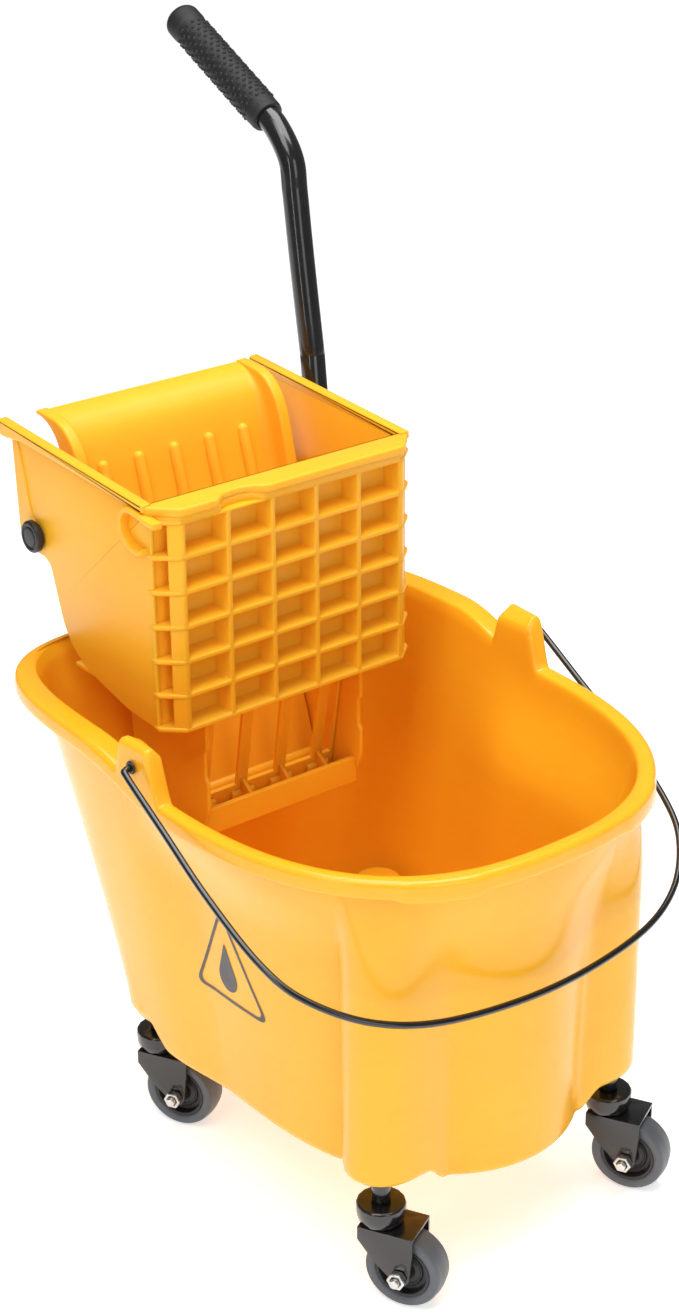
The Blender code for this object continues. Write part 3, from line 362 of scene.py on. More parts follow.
def rounded(points, radius, steps=4, closed=True):
    """Polyline with its corners rounded; a corner may carry its own radius as a third value."""
    result = []
    count = len(points)
    for i, point in enumerate(points):
        own = point[2] if len(point) > 2 else radius
        here = Vector(point[:2])
        before, after = Vector(points[i - 1][:2]), Vector(points[(i + 1) % count][:2])
        if own <= 0 or (not closed and i in (0, count - 1)):
            result.append(tuple(here))
            continue
        back, ahead = before - here, after - here
        cut = min(own, back.length * 0.45, ahead.length * 0.45)
        start, end = here + back.normalized() * cut, here + ahead.normalized() * cut
        for k in range(steps + 1):
            t = k / steps
            result.append(tuple(start * (1 - t) ** 2 + here * 2 * t * (1 - t) + end * t * t))
    return result


def along(start, direction):
    turn = Vector(direction).to_track_quat("Z", "Y").to_matrix().to_4x4()
    return Matrix.Translation(Vector(start)) @ turn


def smooth_path(points, per_span):
    padded = [2 * points[0] - points[1]] + points + [2 * points[-1] - points[-2]]
    path = []
    for a, b, c, d in zip(padded, padded[1:], padded[2:], padded[3:]):
        for i in range(per_span):
            t = i / per_span
            path.append(0.5 * (2 * b + (c - a) * t + (2 * a - 5 * b + 4 * c - d) * t * t
                               + (3 * b - a - 3 * c + d) * t ** 3))
    return path + [points[-1]]


def swept(path, radii, segments):
    """Round bar along a path, a radius for each point."""
    tangents = [(b - a).normalized() for a, b in zip([path[0]] + path[:-1], path[1:] + [path[-1]])]
    side = tangents[0].orthogonal().normalized()
    rings = []
    for point, tangent, radius in zip(path, tangents, radii):
        side = (side - tangent * side.dot(tangent)).normalized()
        other = tangent.cross(side)
        turns = [2 * math.pi * i / segments for i in range(segments)]
        rings.append([point + (side * math.cos(a) + other * math.sin(a)) * radius for a in turns])
    return loft(rings)


def prism(outline, low, high, place, edge=0.0012, steps=3):
    """Plate between two heights with its edges rounded over; place maps an (a, b, height) of the outline."""
    area = sum(a[0] * b[1] - b[0] * a[1] for a, b in zip(outline, outline[1:] + outline[:1]))
    facing = 1 if area > 0 else -1
    inward = []
    for i, point in enumerate(outline):
        here = Vector(point)
        way_in = (here - Vector(outline[i - 1])).normalized()
        way_out = (Vector(outline[(i + 1) % len(outline)]) - here).normalized()
        way = way_in + way_out
        way = way.normalized() if way.length > 1e-6 else way_out
        lean = max(way.dot(way_out), 0.5)
        inward.append(Vector((-way.y, way.x)) * facing / lean)
    rings = []
    for k in range(steps + 1):
        angle = math.pi / 2 * k / steps
        rings.append((low + edge - edge * math.cos(angle), edge - edge * math.sin(angle)))
    rings += [(high - (height - low), inset) for height, inset in rings[::-1]]
    return loft([[place(*(Vector(p) + way * inset), height) for p, way in zip(outline, inward)]
                 for height, inset in rings])


def prism_x(outline, x_pair, edge=0.0012, corner=0.003, steps=3):
    """Plate whose outline is given as (y, z) points."""
    low, high = sorted(x_pair)
    return prism(rounded(outline, corner), low, high, lambda y, z, x: spot(x, y, z), edge, steps)


def prism_z(outline, z_pair, edge=0.0012, corner=0.003, steps=3):
    """Plate whose outline is given as (x, y) points."""
    low, high = sorted(z_pair)
    return prism(rounded(outline, corner), low, high, lambda x, y, z: spot(x, y, z), edge, steps)


def flipped(outline, side):
    """The outline itself for the right side, and its mirror for the left."""
    return [(side * point[0], *point[1:]) for point in outline]


def softened(node, width, material, body, name, segments=2):
    """Copy of a frame node with its edges rounded over."""
    bm = bmesh.new()
    bm.from_mesh(NODES[node].data)
    bmesh.ops.remove_doubles(bm, verts=bm.verts, dist=1e-5)
    bmesh.ops.dissolve_limit(bm, angle_limit=math.radians(0.6), verts=bm.verts, edges=bm.edges)
    carrier = stood("soft", laid_down(bm, "soft"))
    bevel = carrier.modifiers.new("edges", "BEVEL")
    bevel.width, bevel.segments, bevel.limit_method = width, segments, "ANGLE"
    bevel.angle_limit = math.radians(28)
    bevel.miter_outer = "MITER_ARC"
    bevel.use_clamp_overlap = True
    make_piece(name, taken_up(applied(carrier)), material, body, (node,), 40, tidy=False)


def growing_tree(name, sizes, takes_mesh=False):
    """A geometry tree with named inputs: its wiring, the inputs' outlets and the sockets by name."""
    tree = bpy.data.node_groups.new(name, "GeometryNodeTree")
    if takes_mesh:
        tree.interface.new_socket(name="Geometry", in_out="INPUT", socket_type="NodeSocketGeometry")
    sockets = {}
    for label, kind in (*sizes, ("Material", "Material")):
        sockets[label] = tree.interface.new_socket(name=label, in_out="INPUT",
                                                   socket_type="NodeSocket" + kind)
    tree.interface.new_socket(name="Geometry", in_out="OUTPUT", socket_type="NodeSocketGeometry")
    w = Wiring(tree)
    return w, w.put("NodeGroupInput").outputs, sockets


def tree_end(w, given, placed):
    """Ends a geometry tree: its instances are made real and given the material."""
    real = w.put("GeometryNodeRealizeInstances", Geometry=placed.outputs[0])
    coat = w.put("GeometryNodeSetMaterial", Geometry=real.outputs[0], Material=given["Material"])
    w.join(coat.outputs[0], w.put("NodeGroupOutput").inputs[0])
    return w.tree


def grown(tree_and_sockets, values, place, seed=None):
    """Runs a geometry tree and returns its result as mesh code, moved to place."""
    tree, sockets = tree_and_sockets
    seed = seed or bpy.data.meshes.new("seed")
    carrier = stood("seed", seed)
    modifier = carrier.modifiers.new("grown", "NODES")
    modifier.node_group = tree
    for label, value in values.items():
        modifier[sockets[label].identifier] = value
    mesh = applied(carrier)
    bpy.data.meshes.remove(seed)
    mesh.transform(place)
    return taken_up(mesh)


# ---------------------------------------------------------------- tub
def superellipse(phi, half_x, half_y, power):
    across = (abs(math.sin(phi)) / half_x) ** power
    length = (abs(math.cos(phi)) / half_y) ** power
    return (across + length) ** (-1 / power)


def circle_reach(phi, x, y, radius):
    distance = math.hypot(x, y - PLAN_CENTRE_Y)
    off_axis = phi - math.atan2(x, PLAN_CENTRE_Y - y)
    across = distance * math.sin(off_axis)
    if abs(across) >= radius or math.cos(off_axis) < 0:
        return 0.0
    return distance * math.cos(off_axis) + math.sqrt(radius ** 2 - across ** 2)


def rear_share(phi):
    return smoothstep(-0.05, 0.45, -math.cos(phi))


def rim_z(phi):
    return RIM_FRONT_Z + RIM_REAR_RISE * rear_share(phi)


def outline_reach(phi, outline):
    front, rear = outline
    return mix(superellipse(phi, *front), superellipse(phi, *rear), rear_share(phi))


def soft_max(values, softness):
    top = max(values)
    return top + softness * math.log(sum(math.exp((v - top) / softness) for v in values))


def wall_reach(phi, z):
    """Outer surface of the side wall: a flared cone with upright lobes standing out of it."""
    rise = (z - BELLY_Z) / (RIM_FRONT_Z - BELLY_Z)
    lobe_x, lobe_y, lobe_radius = CORNER_LOBE
    lobes = [circle_reach(phi, sx * lobe_x, sy * lobe_y, lobe_radius) for sx, sy in FOUR_WAYS]
    lobes += [circle_reach(phi, sx * x, -lobe_y, lobe_radius) for sx in (-1, 1) for x in INNER_LOBES_X]
    lobes.append(circle_reach(phi, 0, *FRONT_LOBE))
    cone = mix(outline_reach(phi, FOOT_OUTLINE), outline_reach(phi, TOP_OUTLINE), rise)
    throat = (1 - rear_share(phi)) * smoothstep(RIM_FRONT_Z - THROAT_HEIGHT, RIM_FRONT_Z, z)
    return mix(soft_max([cone] + lobes, WALL_BLEND), rim_reach(phi) - RIM_OVERHANG, throat)


def corner_pad(phi):
    """1 over the thickened stretch of rim above each front corner lobe."""
    if math.cos(phi) < 0:
        return 0.0
    x = abs(rim_reach(phi) * math.sin(phi))
    return smoothstep(*PAD_INNER_X, x) * (1 - smoothstep(*PAD_OUTER_X, x))


def rim_reach(phi):
    return outline_reach(phi, RIM_OUTLINE)


def lip_reach(phi):
    return rim_reach(phi) + PAD_THICKNESS * corner_pad(phi)


def underside_z(x, y):
    nearest = min(math.hypot(x - sx * STEM_X, y - sy * STEM_Y) for sx, sy in FOUR_WAYS)
    return mix(CORNER_Z, BELLY_Z, smoothstep(CORNER_FLAT, CORNER_FADE, nearest))


def tub_angles():
    """Angles round the plan, closer together where the bail lugs rise."""
    fine, coarse, near = 0.4, 1.25, 14
    angles, degrees = [], 0.0
    while degrees < 359.99:
        angles.append(math.radians(degrees))
        degrees += fine if min(abs(degrees - lug) for lug in (95, 265)) < near else coarse
    return angles


TUB_ANGLES = tub_angles()


def plan_ring(reach, height):
    ring = []
    for phi in TUB_ANGLES:
        distance = reach(phi)
        x = distance * math.sin(phi)
        y = PLAN_CENTRE_Y - distance * math.cos(phi)
        ring.append(spot(x, y, height(phi, x, y)))
    return ring


def wall_ring(share, inset, lift, drop):
    def height(phi, x=None, y=None):
        foot_x = wall_reach(phi, BELLY_Z) * math.sin(phi)
        foot_y = PLAN_CENTRE_Y - wall_reach(phi, BELLY_Z) * math.cos(phi)
        return mix(underside_z(foot_x, foot_y) + lift, rim_z(phi) - drop, share)
    return plan_ring(lambda phi: wall_reach(phi, height(phi)) - inset, height)


def build_tub():
    """One closed skin, lofted up the outside, over the rolled rim and down the inside."""
    turn_under, turn_steps, round_over = 0.009, 5, 0.0050
    shares = [0, 0.02, 0.05, 0.09] + [0.09 + 0.68 * i / 17 for i in range(1, 18)] + \
             [0.77 + 0.23 * i / 12 for i in range(1, 13)]

    def floor_ring(share, thick):
        return plan_ring(lambda phi: (wall_reach(phi, BELLY_Z) - turn_under - thick) * share,
                         lambda phi, x, y: underside_z(x, y) + thick)

    def turn_ring(step, thick):
        """A ring of the rounded turn from the floor into the wall."""
        angle = math.pi / 2 * step / turn_steps
        inset, lift = turn_under * (1 - math.sin(angle)), turn_under * (1 - math.cos(angle)) * 0.9
        return plan_ring(lambda phi: wall_reach(phi, BELLY_Z + 0.004) - thick - inset,
                         lambda phi, x, y: underside_z(x, y) + thick + lift)

    def lug(y):
        return smoothstep(*LUG_FRONT_Y, y) * (1 - smoothstep(*LUG_REAR_Y, y))

    def lip_ring(out, drop, rise=0.0):
        """A ring of the lip: how far outside its outline, how far below its top, how much of the lug."""
        pad = PAD_HEIGHT if drop > 0.011 else 0

        def height(phi, x, y):
            return mix(rim_z(phi) - drop - pad * corner_pad(phi), LUG_TOP_Z - drop, rise * lug(y))
        return plan_ring(lambda phi: lip_reach(phi) + out, height)

    def edge_ring(inward, drop, rise):
        """A ring of the rim's inner edge, measured from the wall."""
        def height(phi, x, y):
            return mix(rim_z(phi) - drop, LUG_TOP_Z - drop * 2 - 0.004, rise * lug(y))
        return plan_ring(lambda phi: wall_reach(phi, rim_z(phi)) - WALL + inward, height)

    rings = [floor_ring(share, 0) for share in (0.04, 0.3, 0.5, 0.7, 0.8, 0.87, 0.93)]
    rings += [turn_ring(step, 0) for step in range(turn_steps)]
    rings += [wall_ring(share, 0.0, turn_under, WALL) for share in shares]
    rings += [lip_ring(out, drop) for out, drop in (
        (-0.0050, 0.0035), (-0.0036, 0.0050), (-0.0034, 0.0125), (-0.0030, 0.0139), (-0.0018, 0.0144),
        (-0.0006, 0.0139), (0.0, 0.0125), (-0.0002, 0.0085))]
    for k in range(7):
        angle = math.pi / 2 * k / 6
        out = -0.0004 - round_over * (1 - math.cos(angle))
        rings.append(lip_ring(out, round_over * (1 - math.sin(angle)), 1.0))
    rings.append(lip_ring(-0.0085, 0.0001, 1.0))
    rings += [edge_ring(*sizes) for sizes in (
        (0.0042, 0.0010, 1.0), (0.0022, 0.0017, 1.0), (0.0010, 0.0032, 0.85), (0.0003, 0.0055, 0.4))]
    rings += [wall_ring(share, WALL, turn_under + WALL, 0.0085) for share in shares[::-1]]
    rings += [turn_ring(step, WALL) for step in reversed(range(turn_steps))]
    rings += [floor_ring(share, WALL) for share in (0.93, 0.8, 0.5, 0.04)]
    parts = [loft(rings)]
    boss = rounded([(0, 0.1690, 0), (0.0220, 0.1685), (0.0245, 0.126, 0), (0, 0.126, 0)], 0.007)
    for sx, sy in FOUR_WAYS:
        place = Matrix.Translation(spot(sx * CORNER_LOBE[0], sy * CORNER_LOBE[1], 0))
        parts.append(turned(boss, 48, place))
    make_piece("tub", joined(*parts), GLOSS_YELLOW, "bucket", ("bucket_body",), 50)


build_tub()


def bail_eyes():
    """Dark moulded bushes where the bail enters the lugs."""
    bore, lug_face_x = BAIL_WIRE + 0.0002, 0.1985
    profile = rounded([(bore, 0), (0.0055, 0), (0.0050, 0.0016), (bore, 0.0016)], 0.0004, 2)
    eyes = [turned(profile, 32, along(spot(side * lug_face_x, *BAIL_PIVOT), (side, 0, 0)))
            for side, _ in SIDES]
    make_piece("bail_eyes", joined(*eyes), BLACK_PLASTIC, "bucket", ())


bail_eyes()


def build_print():
    """Printed panel mark on the left wall: a rounded triangle with a plain drop inside."""
    middle_phi, middle_z, radius = math.radians(-79.5), 0.256, 0.170
    bm = bmesh.new()

    def on_wall(s, z):
        phi = middle_phi + s / radius
        distance = wall_reach(phi, middle_z + z) + 0.00035
        return spot(distance * math.sin(phi), PLAN_CENTRE_Y - distance * math.cos(phi), middle_z + z)

    def band(outer, inner):
        outside = [bm.verts.new(on_wall(*p)) for p in outer]
        inside = [bm.verts.new(on_wall(*p)) for p in inner]
        skin_between(bm, outside, inside)

    def resampled(points, count):
        loop = [Vector(p) for p in points]
        lengths = [(b - a).length for a, b in zip(loop, loop[1:] + loop[:1])]
        total, result = sum(lengths), []
        for i in range(count):
            target, k = total * i / count, 0
            while target > lengths[k]:
                target -= lengths[k]
                k += 1
            result.append(tuple(loop[k].lerp(loop[(k + 1) % len(loop)], target / lengths[k])))
        return result

    corners = [(-0.0495, -0.043), (0.0495, -0.043), (0.0, 0.046)]
    outer = resampled(rounded(corners, 0.012, 8), 120)
    inner = [(x * 0.896, (z + 0.014) * 0.896 - 0.014) for x, z in outer]
    band(outer, inner)
    drop = []
    for i in range(48):
        angle = 2 * math.pi * i / 48
        pull = max(math.cos(angle), 0) ** 3
        s = 0.0125 * math.sin(angle) * (1 - 0.55 * pull)
        drop.append((s, -0.020 + 0.0125 * math.cos(angle) + 0.020 * pull))
    band(drop, [(x * 0.05, (z + 0.020) * 0.05 - 0.020) for x, z in drop])
    make_piece("wall_print", bm, PRINT_INK, "bucket", (), tidy=False)


build_print()


# ---------------------------------------------------------------- bail
def build_bail():
    pivot = spot(0, *BAIL_PIVOT)
    forward = Vector((0, -math.cos(BAIL_DROOP), -math.sin(BAIL_DROOP)))
    half_shape = [(0.184, 0), (BAIL_HALF - 0.0065, 0), (BAIL_HALF - 0.0015, 0.0018), (BAIL_HALF, 0.0075),
                  (BAIL_HALF, 0.060), (BAIL_HALF, 0.120), (0.2010, 0.185), (0.1860, 0.225), (0.1480, 0.262),
                  (0.0910, 0.284)]
    left = [pivot + Vector((-x, 0, 0)) + forward * reach for x, reach in half_shape]
    right = [pivot + Vector((x, 0, 0)) + forward * reach for x, reach in half_shape[::-1]]
    path = smooth_path(left + [pivot + forward * 0.293] + right, 8)
    make_piece("bail_wire", swept(path, [BAIL_WIRE] * len(path), 16), BLACK_STEEL, "bail", ("bail_handle",),
               60)


build_bail()


# ---------------------------------------------------------------- wringer
CELL_FACE_Y, CELL_FLOOR_Y, CELL_SIDE_Y, CHAMBER_FRONT_Y = 0.1046, 0.1222, 0.1195, 0.1265
CELL_PITCH, CELL_COLUMNS, CELL_ROWS = (0.0424, 0.0293), 5, 6
CELLS_LOW, WRINGER_TOP = 0.4005, 0.586
CELLS_FOOT, CELLS_HALF = CELLS_LOW - 0.00225, CELL_PITCH[0] * (CELL_COLUMNS / 2)
CELLS_TOP = CELLS_FOOT + CELL_PITCH[1] * CELL_ROWS
WRINGER_FRONT_Y, WRINGER_DEPTH, WRINGER_RISE = 0.105, 0.23, 0.012
WRINGER_HALF, SIDE_WALL, BOX_HALF = 0.125, 0.0035, 0.080


def wringer_top(y):
    return WRINGER_TOP + WRINGER_RISE * (y - WRINGER_FRONT_Y) / WRINGER_DEPTH


def grid_of_cells():
    """Geometry nodes: repeats the given mesh on an upright grid, with named counts and pitches."""
    w, given, sockets = growing_tree("grid_of_cells", (
        ("Columns", "Int"), ("Rows", "Int"), ("Pitch X", "Float"), ("Pitch Z", "Float")), takes_mesh=True)

    def reach(count, pitch):
        return w.maths("MULTIPLY", w.maths("SUBTRACT", given[count], 1.0), given[pitch])

    grid = w.put("GeometryNodeMeshGrid", Vertices_X=given["Columns"], Vertices_Y=given["Rows"],
                 Size_X=reach("Columns", "Pitch X"), Size_Y=reach("Rows", "Pitch Z"))
    upright = w.put("GeometryNodeTransform", Geometry=grid.outputs[0], Rotation=(math.pi / 2, 0, 0))
    placed = w.put("GeometryNodeInstanceOnPoints", Points=upright.outputs[0], Instance=given["Geometry"])
    return tree_end(w, given, placed), sockets


def one_cell():
    """A cup open to the front: flat land, rounded mouth, walls with draft, flat floor."""
    half_x, half_z = CELL_PITCH[0] / 2, CELL_PITCH[1] / 2
    depth = CELL_FLOOR_Y - CELL_FACE_Y
    rings = []
    for inset, y, radius in (
            (0.0, depth + 0.0015, 0.0), (0.0, 0.0, 0.0), (0.0011, 0.0, 0.0015), (0.0015, 0.00012, 0.0016),
            (0.0019, 0.0005, 0.0017), (0.0022, 0.0012, 0.0018), (0.0032, depth * 0.5, 0.0018),
            (0.0042, depth - 0.0015, 0.0018), (0.0048, depth - 0.0003, 0.0014), (0.0056, depth, 0.0010)):
        a, b = half_x - inset, half_z - inset
        outline = rounded([(-a, -b), (a, -b), (a, b), (-a, b)], max(radius, 1e-5), 4)
        rings.append([Vector((x, y, z)) for x, z in outline])
    bm = bmesh.new()
    loops = [[bm.verts.new(p) for p in ring] for ring in rings]
    for ring, following in zip(loops, loops[1:]):
        skin_between(bm, following, ring)
    bm.faces.new(loops[0])
    bm.faces.new(loops[-1][::-1])
    return bm


def build_cells():
    place = Matrix.Translation(spot(0, CELL_FACE_Y, CELLS_FOOT + CELL_PITCH[1] * (CELL_ROWS / 2)))
    return grown(grid_of_cells(), {
        "Columns": CELL_COLUMNS, "Rows": CELL_ROWS, "Pitch X": CELL_PITCH[0], "Pitch Z": CELL_PITCH[1],
        "Material": SATIN_YELLOW}, place, laid_down(one_cell(), "cell"))


def cell_frame():
    """Posts and ribs that carry the cells to the side walls, with the back plate, foot and sill."""
    parts = []
    low, top, half, back = CELLS_FOOT, CELLS_TOP, CELLS_HALF, CHAMBER_FRONT_Y
    post = [(half - 0.0008, CELL_FACE_Y - 0.0002, 0.0003), (half + 0.0022, CELL_FACE_Y - 0.0002, 0.0030),
            (0.1157, 0.1120), (0.1145, 0.1150), (half - 0.0008, 0.1150)]
    cheek = [(half - 0.0012, CELL_FACE_Y + 0.002), (half + 0.0006, CELL_FACE_Y + 0.002),
             (half + 0.0006, back - 0.001), (half - 0.0012, back - 0.001)]
    rib = [(half - 0.0010, CELL_FACE_Y - 0.0004, 0.0004), (half + 0.0030, CELL_FACE_Y - 0.0004, 0.0045),
           (WRINGER_HALF + 0.0010, CELL_SIDE_Y - 0.0003, 0.003), (WRINGER_HALF + 0.0004, back, 0.0005),
           (0.1220, back, 0.0005), (half - 0.0010, back, 0.0005)]
    for side, _ in SIDES:
        parts.append(prism_z(flipped(post, side), (low, top), 0.0004, 0.0008))
        parts.append(prism_z(flipped(cheek, side), (low, top), 0.0004, 0.0004))
        for level in range(CELL_ROWS + 1):
            z = low + CELL_PITCH[1] * level
            parts.append(prism_z(flipped(rib, side), (z - 0.0021, z + 0.0021), 0.0014, 0.001))
    plate = [(-0.1245, back - 0.0035), (0.1245, back - 0.0035), (0.1245, back), (-0.1245, back)]
    parts.append(prism_z(plate, (low - 0.0018, WRINGER_TOP - 0.002), 0.0006, 0.0006))
    face, edge = CELL_FACE_Y - 0.0003, WRINGER_HALF - 0.001
    foot = [(-half - 0.0015, face), (half + 0.0015, face), (edge, CELL_SIDE_Y), (edge, back), (-edge, back),
            (-edge, CELL_SIDE_Y)]
    parts.append(prism_z(foot, (low - 0.0022, low + 0.0020), 0.0012, 0.001))
    sill = [(-0.0790, back - 0.002), (0.0790, back - 0.002), (0.0790, 0.1520), (-0.0790, 0.1520)]
    parts.append(prism_z(sill, (0.3925, 0.3970), 0.0010, 0.001))
    return parts


def top_flange():
    """Flange over the cells, notched towards its left, on a header of nearly the same outline."""
    flange = [(-0.1085, 0.1022, 0.005), (-0.0745, 0.1022, 0.004), (-0.0705, 0.1055, 0.004),
              (-0.0640, 0.1110, 0.004), (-0.0480, 0.1125, 0.004), (-0.0360, 0.1095, 0.004),
              (-0.0300, 0.1035, 0.003), (-0.0240, 0.1022, 0.003), (0.1085, 0.1022, 0.005),
              (0.1285, 0.1235, 0.003), (0.1285, 0.1285, 0.001), (-0.1285, 0.1285, 0.001),
              (-0.1285, 0.1235, 0.003)]
    header = [(x, max(y, CELL_FACE_Y - 0.0003), radius) for x, y, radius in flange if abs(x) < 0.12]
    header += [(0.1240, 0.1195), (0.1240, CHAMBER_FRONT_Y), (-0.1240, CHAMBER_FRONT_Y), (-0.1240, 0.1195)]
    return [prism_z(header, (CELLS_TOP - 0.0010, WRINGER_TOP - 0.004), 0.0008, 0.002),
            prism_z(flange, (WRINGER_TOP - 0.0075, WRINGER_TOP + 0.0002), 0.0020, 0.003, 4)]


def side_parts(side):
    """One side of the wringer: wall, rolled lip, cheek of the lower box, hook over the rim and shelf."""
    front = CHAMBER_FRONT_Y
    wall = [(front - 0.005, 0.3965, 0.002), (0.165, 0.3985), (0.219, 0.4105, 0.012), (0.243, 0.4230, 0.012),
            (0.2560, 0.4400, 0.012), (0.2640, 0.4640, 0.01), (0.2720, 0.4880, 0.006), (0.2800, 0.4925, 0.003),
            (0.2980, 0.4925, 0.003), (0.3070, 0.5010, 0.003), (0.3170, 0.5045, 0.004),
            (0.3220, wringer_top(0.322) - 0.003, 0.003), (front - 0.005, WRINGER_TOP - 0.003, 0.001)]
    lip_end = wringer_top(0.332)
    lip = [(front - 0.003, WRINGER_TOP + 0.0018, 0.001), (front - 0.003, WRINGER_TOP - 0.0050, 0.001),
           (0.3000, wringer_top(0.300) - 0.0080, 0.01), (0.3200, lip_end - 0.0130, 0.004),
           (0.3320, lip_end - 0.0130, 0.004), (0.3330, lip_end + 0.0010, 0.002)]
    cheek = [(0.122, CELLS_LOW - 0.001, 0.001), (0.122, 0.3640), (0.1250, 0.3600), (0.1250, 0.3380),
             (0.1215, 0.3340), (0.122, 0.3070, 0.006), (0.1290, 0.2925, 0.004), (0.140, 0.2815, 0.006),
             (0.222, 0.2815), (0.237, 0.400), (0.237, 0.411), (0.1260, 0.411)]
    hook = [(0.2405, 0.4080), (0.2450, 0.4080), (0.2450, 0.4240), (0.2895, 0.4240), (0.2895, 0.4000),
            (0.2935, 0.4000), (0.2935, 0.4285, 0.006), (0.2405, 0.4285)]
    near, far = sorted((side * (BOX_HALF - 0.002), side * (WRINGER_HALF - 0.002)))
    shelf = [(near, front - 0.002), (far, front - 0.002), (far, 0.2440), (near, 0.2440)]
    return [
        prism_x(wall, (side * (WRINGER_HALF - SIDE_WALL), side * WRINGER_HALF), 0.0012, 0.004),
        prism_x(lip, (side * (WRINGER_HALF - 0.004), side * (WRINGER_HALF + 0.0058)), 0.0022, 0.003, 4),
        prism_x(cheek, (side * (BOX_HALF - SIDE_WALL), side * (BOX_HALF + 0.0002)), 0.0011, 0.0015),
        prism_x(hook, (side * 0.0665, side * 0.0930), 0.0012, 0.0012),
        prism_z(shelf, (0.4075, 0.4112), 0.0008, 0.001)]


def left_fold():
    """Thin raised fold down the rear of the left wall."""
    bends = ((0.3125, wringer_top(0.3125) - 0.010), (0.3050, 0.560), (0.2960, 0.525), (0.2905, 0.5200))
    path = smooth_path([spot(-WRINGER_HALF - 0.0001, y, z) for y, z in bends], 6)
    return swept(path, [0.0011] * len(path), 10)


def build_wringer():
    rail = [(0.1285, 0.2815), (0.1725, 0.2815), (0.1725, 0.2862), (0.1335, 0.2862), (0.1335, 0.3050),
            (0.1285, 0.3050)]
    parts = [build_cells(), *cell_frame(), *top_flange(), *side_parts(-1), left_fold(), *side_parts(1),
             prism_x(rail, (-BOX_HALF + 0.002, BOX_HALF - 0.002), 0.001, 0.0012), corner_strap()]
    make_piece("wringer_moulding", joined(*parts), SATIN_YELLOW, "wringer", ("wringer_frame",),
               42, tidy=False)


def corner_strap():
    """Curled strap standing out of the left wall near its front top corner."""
    strap_path = [(0.1060, 0.5760), (0.1180, 0.5765), (0.1330, 0.5790), (0.1455, 0.5780), (0.1530, 0.5690),
                  (0.1520, 0.5570), (0.1430, 0.5490), (0.1300, 0.5470), (0.1250, 0.5490)]
    path = smooth_path([Vector((y, z)).to_3d() for y, z in strap_path], 5)
    outer, inner, half = [], [], 0.0023
    for i, point in enumerate(path):
        way = (path[min(i + 1, len(path) - 1)] - path[max(i - 1, 0)]).normalized()
        normal = Vector((-way.y, way.x, 0))
        outer.append(tuple((point + normal * half)[:2]))
        inner.append(tuple((point - normal * half)[:2]))
    return prism(outer + inner[::-1], -WRINGER_HALF - 0.0080, -WRINGER_HALF + 0.0015,
                 lambda y, z, x: spot(x, y, z), 0.0015)


build_wringer()


def build_grate():
    """Slanted grate under the cells: bars with arched windows, feet on the rail, tabs at its top."""
    top, foot = Vector((0, 0.1475, 0.3915)), Vector((0, 0.1650, 0.2868))
    slope = top - foot
    half, thick = BOX_HALF - SIDE_WALL - 0.0006, 0.0040
    normal = Vector((0, -slope.z, slope.y)).normalized()
    parts = []

    def window_cell(left, right, centre, reach, arch):
        count = 15
        inner, outer = [], []
        for i in range(count):
            angle = math.pi * i / (count - 1)
            inner.append((centre + reach * math.cos(angle), 0.80 + arch * math.sin(angle)))
            outer.append((mix(right, left, i / (count - 1)), 1.0))
        for i in range(1, 6):
            inner.append((centre - reach, mix(0.80, 0.13, i / 5)))
            outer.append((left, mix(1.0, 0.0, i / 5)))
        for i in range(1, 5):
            inner.append((mix(centre - reach, centre + reach, i / 4), 0.13))
            outer.append((mix(left, right, i / 4), 0.0))
        for i in range(1, 5):
            inner.append((centre + reach, mix(0.13, 0.80, i / 5)))
            outer.append((right, mix(0.0, 1.0, i / 5)))
        soft = 0.0010
        bm = bmesh.new()

        def ring(points, depth, shrink=0.0):
            middle = Vector((centre, 0.5))
            made = []
            for x, s in points:
                x += shrink * (1 if x > middle.x else -1)
                made.append(bm.verts.new(spot(x, *(foot + slope * s)[1:]) + normal * depth))
            return made

        loops = [ring(outer, thick), ring(inner, thick, soft), ring(inner, thick - soft * 0.3, soft * 0.3),
                 ring(inner, thick - soft), ring(inner, soft), ring(inner, 0.0, soft), ring(outer, 0.0)]
        for a, b in zip(loops, loops[1:] + loops[:1]):
            skin_between(bm, a, b)
        return bm

    edges = (-half, -0.0590, -0.0197, 0.0197, 0.0590, half)
    narrow, wide = (0.0042, 0.04), (0.0140, 0.13)
    windows = ((-0.0690, *narrow), (-0.0395, *wide), (0.0, *wide), (0.0395, *wide), (0.0690, *narrow))
    for left, right, window in zip(edges, edges[1:], windows):
        parts.append(window_cell(left, right, *window))
    barrel = rounded([(0, -0.0110, 0), (0.0042, -0.0110), (0.0042, 0.0110), (0, 0.0110, 0)], 0.001, 4, False)
    for x in edges[1:-1]:
        parts.append(turned(barrel, 24, along(spot(x, 0.1600, 0.2905), (1, 0, 0))))
        web = [(0.1600, 0.2880), (0.1360, 0.2880), (0.1370, 0.2905), (0.1600, 0.3060)]
        parts.append(prism_x(web, (x - 0.0018, x + 0.0018), 0.0006, 0.001))
    for x in (-0.0600, 0.0600):
        tab = [(x - 0.0130, 0.3960, 0.0005), (x - 0.0130, 0.3830), (x + 0.0040, 0.3830), (x + 0.0040, 0.3880),
               (x + 0.0130, 0.3880), (x + 0.0130, 0.3960, 0.0005)]
        parts.append(prism(rounded(tab, 0.0015), 0.1380, 0.1420, lambda a, z, y: spot(a, y, z), 0.0008))
    make_piece("grate", joined(*parts), SATIN_YELLOW, "wringer", ("drain_grate",), 42,
               tidy=False)


build_grate()


def about_hinge(distance, angle, offset=0.0):
    return (HINGE[0] + distance * math.sin(angle) + offset * math.cos(angle),
            HINGE[1] + distance * math.cos(angle) - offset * math.sin(angle))


